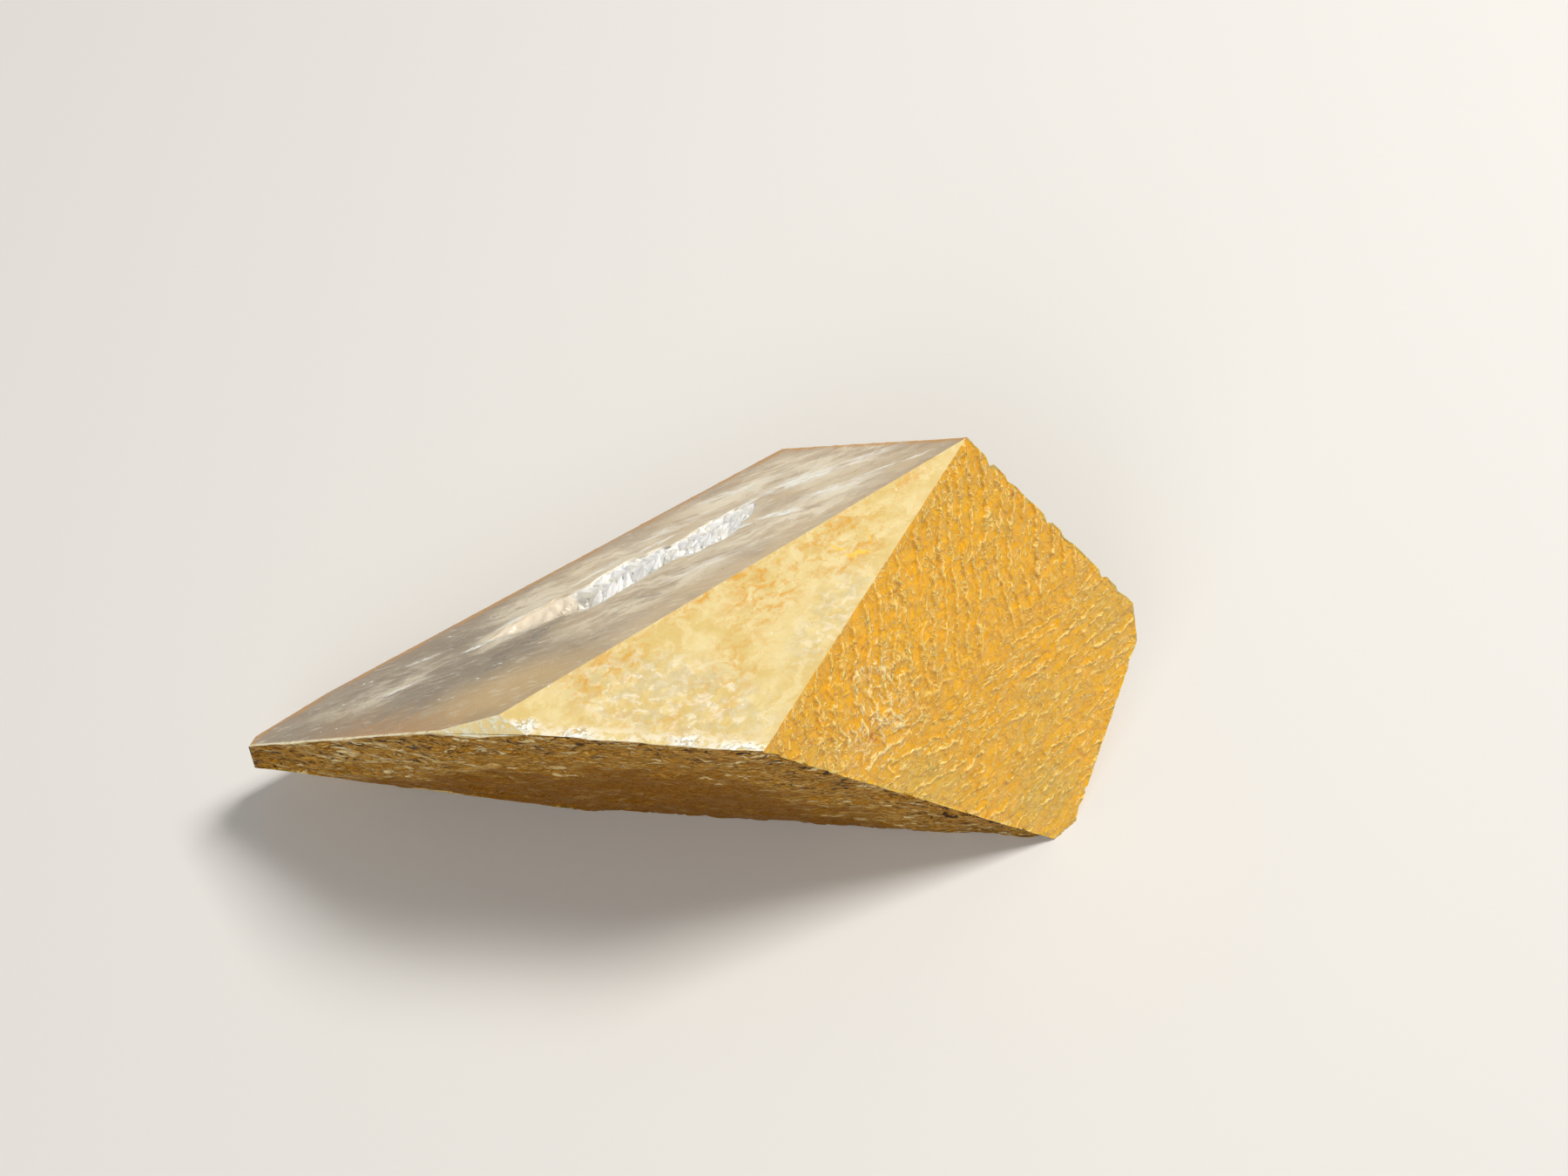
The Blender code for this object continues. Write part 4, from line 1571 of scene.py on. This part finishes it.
@dataclass(frozen=True)
class FlakedRind:
    """Agate rind that has scaled: thin honey-coloured flakes with brown in the cracks.

    The mesh carries flakes of about 1 mm. Finer ones of 0.8 and 0.4 mm lie on them in two
    layers, the real ones being as fine as 0.1 mm, which wouldn't show. The rind is matt.
    """

    ground: str = "#BE8410"
    straw: str = "#DEB460"
    # Darker honey of the lower part, which is painted shade
    honey: str = "#865404"
    brown: str = "#744808"
    crack: str = "#3A2206"
    pale: str = "#F0DCA6"
    spread: tuple[float, float, float] = (1.0, 0.55, 0.15)
    streak_grain: Grain = Grain(1.8, 0.4, 0.44, 0.66, 2.0, 5.0, 0.5, 2)
    large: Grain = Grain(0.80, 0.24, 0.62, 0.80, 3.0, seed=4, motif=Motif.CELLS)
    small: Grain = Grain(0.42, 0.13, 0.70, 0.85, -2.0, seed=5, motif=Motif.CELLS)
    tip: tuple[Patch, ...] = (
        Patch(-18.0, 12.0, 9.0, 5.0, 0.0, 0.7), Patch(-25.1, 11.6, 1.6, 0.5))
    # The deepest cracks of the upper part are darkened
    darkened_crack_grain: Grain = Grain(2.2, 0.6, 0.46, 0.56, 3.0, 3.0, 0.3, 3)
    # The flakes are loosest below the upper edge, and the rind is smooth near the floor and darker
    # there with painted shade: how deep under the upper edge each begins and is full, with a border
    # that wanders
    border_grain: Grain = Grain(4.0, 2.0, 0.3, 0.7, 0.0, 3.0, 0.0, 1)
    border_sway: float = 3.5
    loose: tuple[float, float] = (4.5, 0.0)
    smooth: tuple[float, float] = (2.3, 6.2)
    # Pale just under the upper edge, a painted highlight on that edge: where it begins and is full
    edge: tuple[float, float] = (0.30, 0.05)

    def make(self) -> bpy.types.Material:
        """Makes the material.

        Returns:
            The finished material.
        """
        bench = Bench("agate rind, scaled off in flakes")
        place = bench.add("UVMap", {"uv_map": FACET_MAP})
        ragged = bench.stray(place, 1.6, 0.8)
        pulled = bench.stray(place, 0.5, 0.07)
        crack = bench.add("Attribute", {"attribute_name": CREST}, out="Fac")
        below = bench.depth_under("cream", "nose", "polished", "amber")
        below = bench.add("Math", TIMES_PLUS, (
            bench.draw(place, self.border_grain), -self.border_sway, below))
        upper = bench.add("MapRange", SMOOTH, (below, *self.loose))
        # Near the floor the rind is smooth and darkened with painted shade
        lower = bench.add("MapRange", SMOOTH, (below, *self.smooth))
        shown = bench.add("MapRange", SMOOTH, (lower, 1.25, 0.0))
        # Painted highlight along the upper edge
        edge = bench.add("MapRange", SMOOTH, (
            bench.depth_under("cream", "nose", "polished"), *self.edge))
        streaks = bench.draw(pulled, self.streak_grain)
        light = bench.overlap(bench.draw(pulled, self.large), shown)
        lighter = bench.overlap(
            bench.draw(pulled, replace(self.large, start=0.90, full=0.93)), shown)
        gaps = bench.draw(
            pulled, replace(self.large, start=0.12, full=0.03, motif=Motif.CRACKS))
        specks = bench.overlap(bench.draw(pulled, self.small), shown)
        dark = bench.overlap(bench.draw(pulled, replace(self.small, start=0.22, full=0.12)), upper)
        slits = bench.draw(
            pulled, replace(self.small, start=0.16, full=0.04, motif=Motif.CRACKS))
        tip = bench.zone(ragged, *self.tip)
        # The deepest cracks of the upper part are darkened
        darkened_cracks = bench.overlap(bench.add("MapRange", SMOOTH, (crack, 0.4, 0.95)), upper,
                             bench.draw(place, self.darkened_crack_grain))
        colour = bench.stack(
            self.ground, (streaks, self.straw, 0.5), (tip, self.straw, 0.5),
            (lower, self.honey, 0.9), (light, self.straw, 0.6), (specks, self.straw, 0.6),
            (bench.overlap(slits, shown), self.brown, 0.35), (dark, self.brown, 0.7),
            (lighter, self.pale, 0.7), (bench.overlap(gaps, shown), self.brown, 0.5),
            (bench.overlap(tip, light), self.pale, 0.8), (darkened_cracks, self.crack),
            (edge, self.pale, 0.8))
        return bench.finish({
            "Base Color": colour,
            "Roughness": bench.add("MapRange", SMOOTH, (streaks, -1.6, 2.0, 0.0, 0.8)),
            "IOR": QUARTZ_IOR, "Subsurface Weight": 0.3,
            "Subsurface Radius": self.spread, "Subsurface Scale": 0.6 * MM,
            "Specular IOR Level": 0.12,
            "Normal": bench.bumps((streaks, 0.03), (gaps, -0.05), (light, 0.04), (slits, -0.02))})


@dataclass(frozen=True)
class FrostedQuartz:
    """Quartz with a broken, sugary face: white frost over cream, in grains of about 0.4 mm."""

    body: str = "#FFE2A0"
    frost: str = "#FFF8DC"
    # White of the painted sparkles, which stand in for glints of the broken grains
    painted_sparkle_white: str = "#FFFFFF"
    spread: tuple[float, float, float] = (1.0, 0.9, 0.75)
    sugar_grain: Grain = Grain(0.5, 0.35, 0.42, 0.62, 0.0, 5.0, 0.3, 1)

    def make(self) -> bpy.types.Material:
        """Makes the material.

        Returns:
            The finished material.
        """
        bench = Bench("quartz, broken and frosted")
        place = bench.add("UVMap", {"uv_map": FACET_MAP})
        sugar = bench.draw(place, self.sugar_grain)
        # Painted highlights: white sparkles on the broken grains
        painted_sparkles = bench.specks(place, 0.4, 0.1, 0.3)
        return bench.finish({
            "Base Color": bench.stack(self.body, (sugar, self.frost), (painted_sparkles, self.painted_sparkle_white)),
            "Roughness": bench.add("MapRange", SMOOTH, (sugar, -1.0, 1.6, 0.0, 0.8)),
            "IOR": QUARTZ_IOR, "Subsurface Weight": 0.4,
            "Subsurface Radius": self.spread, "Subsurface Scale": 1.2 * MM,
            "Normal": bench.bumps((sugar, 0.05), (painted_sparkles, 0.05))})


@dataclass(frozen=True)
class DruseQuartz:
    """Quartz points, grown freely in the hollow: white and glassy, with sharp glints.

    Their faces are as flat as glass, so a faint grain of 0.3 mm is all that breaks the gleam. The
    milk in them is in clouds of about 1 mm. Further down the hollow they blush with iron.
    """

    name: str = "quartz points, grown in the hollow"
    body: str = "#FFFDF4"
    white: str = "#FFFFFF"
    blush: str = "#E6D5B8"
    clearness: float = 0.03
    spread: tuple[float, float, float] = (1.0, 0.95, 0.85)
    blush_from: float = 24.2  # place along the crest where the blush begins
    blush_full: float = 25.4
    milk_grain: Grain = Grain(1.2, 1.2, 0.38, 0.62, 0.0, 3.0, 0.0, 1)
    face_grain: Grain = Grain(0.3, 0.3, 0.3, 0.7, 0.0, 3.0)

    def make(self) -> bpy.types.Material:
        """Makes the material.

        Returns:
            The finished material.
        """
        bench = Bench(self.name)
        metres = bench.add("TexCoord", out="Object")
        place = bench.add("VectorMath", SCALED, {0: metres, "Scale": 1.0 / MM})
        milk = bench.draw(place, self.milk_grain)
        grain = bench.draw(place, self.face_grain)
        down, _, _ = Hollow().axes()
        start = Hollow().crest_start.dot(down)
        reach = bench.add("VectorMath", DOT, (place, down), "Value")
        low = bench.add("MapRange", SMOOTH, (
            reach, start + self.blush_from, start + self.blush_full, 0.0, 0.8))
        return bench.finish({
            "Base Color": bench.stack(self.body, (milk, self.white), (low, self.blush)),
            "Roughness": 0.25, "IOR": QUARTZ_IOR,
            "Transmission Weight": self.clearness, "Subsurface Weight": 0.1,
            "Subsurface Radius": self.spread, "Subsurface Scale": 0.2 * MM,
            "Sheen Weight": 0.4, "Sheen Roughness": 0.4,
            "Normal": bench.bumps((grain, 0.01))})


def finishes_by_skin() -> list[bpy.types.Material]:
    """Makes each finish once.

    Returns:
        The material of each facet, then that of the hollow's wall.
    """
    amber = RidgedRind().make()
    back = RidgedRind(
        name="iron-stained agate rind, grown against laths, paler", ground="#DDA83C",
        deep="#E2A428", dull="#E2C078",
        vivid=(Patch(0.0, 9.0, 14.0, 6.0, 0.0, 0.5),), faint=(Patch(-12.0, 6.0, 9.0, 6.0, 0.0, 0.7),),
        rusty=(Patch(8.0, 12.0, 5.0, 3.0),), tangle=(Patch(10.0, 4.0, 4.0, 3.0, 0.0, 0.5),)).make()
    flaked = FlakedRind().make()
    made = {
        Skin.POLISHED: PolishedQuartz().make(),
        Skin.CREAM: CreamRind().make(),
        Skin.FROSTED: FrostedQuartz().make(),
        Skin.RIDGED: amber,
        Skin.FLAKED: flaked,
        Skin.BACK: back,
        Skin.RESTING: flaked,
    }
    wall = DruseQuartz("milky quartz, wall of the hollow", "#E8DFCB", "#F4EEDF", "#E2D2B4", 0.0)
    return [made[facet.skin] for facet in FACETS] + [wall.make()]


@dataclass(frozen=True)
class Lamp:
    """A soft square lamp that shines at the stone.

    Args:
        name: what the lamp does.
        way: direction from the stone to the lamp.
        distance: from the stone, in metres.
        size: of its sides, in metres.
        power: in watts.
    """

    name: str
    way: tuple[float, float, float]
    distance: float
    size: float
    power: float


@dataclass
class Studio:
    """The floor, the camera and the lights. None of it belongs to the stone.

    Args:
        target: the point on the floor that the camera looks at.
        distance: from there to the camera.
        elevation: of the camera over the floor, in degrees.
        lens: focal length.
        sensor: its width.
        nearest: what the camera still sees, in metres.
        floor_side: in metres.
        floor_colour: of the pale paper floor.
        lamps: the key light, which gives the shadows, and the fill.
        lamp_colour: of their light, as linear values.
        sky: strength of the light from all around.
    """

    target: Vector = Vector((5.90, 10.05, 0.0))
    distance: float = 140.6
    elevation: float = 57.0
    lens: float = 45.0
    sensor: float = 36.0
    nearest: float = 0.01
    floor_side: float = 3.0
    floor_colour: str = "#DAD8D4"
    lamps: tuple[Lamp, ...] = (
        Lamp("key", (0.458, 0.275, 0.845), 0.5, 0.16, 2.25),
        Lamp("fill", (-0.25, -0.75, 0.62), 0.6, 0.4, 1.35),
    )
    lamp_colour: tuple[float, float, float] = (1.0, 0.975, 0.94)
    sky: float = 0.24

    def build(self) -> None:
        """Sets the studio up."""
        self.lay_floor()
        self.place_camera()
        for lamp in self.lamps:
            self.hang(lamp)
        self.light_sky()
        bpy.context.scene.view_settings.view_transform = "Standard"

    def lay_floor(self) -> None:
        """Lays a plain pale floor."""
        deselect()
        bpy.ops.mesh.primitive_plane_add(size=self.floor_side)
        floor = bpy.context.object
        floor.name = "floor"
        bench = Bench("matt paper floor")
        floor.data.materials.append(
            bench.finish({"Base Color": self.floor_colour, "Roughness": 0.8}))

    def place_camera(self) -> None:
        """Puts the camera in front of the stone, above it, and looks through it."""
        tilt = math.radians(self.elevation)
        back = Vector((0.0, -math.cos(tilt), math.sin(tilt)))
        deselect()
        bpy.ops.object.camera_add(location=(self.target + back * self.distance) * MM,
                                  rotation=(math.pi / 2.0 - tilt, 0.0, 0.0))
        camera = bpy.context.object
        camera.data.lens = self.lens
        camera.data.sensor_width = self.sensor
        camera.data.clip_start = self.nearest
        bpy.context.scene.camera = camera

    def hang(self, lamp: Lamp) -> None:
        """Hangs a lamp.

        Args:
            lamp: to hang.
        """
        way = Vector(lamp.way).normalized()
        deselect()
        bpy.ops.object.light_add(type="AREA", location=way * lamp.distance,
                                 rotation=way.to_track_quat("Z", "Y").to_euler())
        light = bpy.context.object
        light.name = lamp.name
        light.data.size = lamp.size
        light.data.energy = lamp.power
        light.data.color = self.lamp_colour

    def light_sky(self) -> None:
        """Lights the stone from all around, dimly."""
        world = bpy.data.worlds.new("studio")
        world.use_nodes = True
        background = world.node_tree.nodes["Background"]
        background.inputs["Color"].default_value = (1.0, 1.0, 1.0, 1.0)
        background.inputs["Strength"].default_value = self.sky
        bpy.context.scene.world = world


def place_piece(piece: bpy.types.Object, node: str) -> None:
    """Puts a finished piece in the place of its CAD node and reports it.

    Args:
        piece: to place.
        node: that it stands for.
    """
    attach(piece, "root")
    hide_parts(node)
    LOG.info("%s: %d faces", piece.name, len(piece.data.polygons))


def main() -> None:
    """Builds the agate, its crust of quartz points and the studio."""
    logging.basicConfig(level=logging.INFO, format="%(message)s")
    hollow = Hollow()
    place_piece(FacetedStone(hollow, finishes_by_skin()).build(), "stone")
    place_piece(QuartzDruse(hollow, DruseQuartz().make()).build(), "crystal_crust")
    Studio().build()


if __name__ == "__main__":
    main()
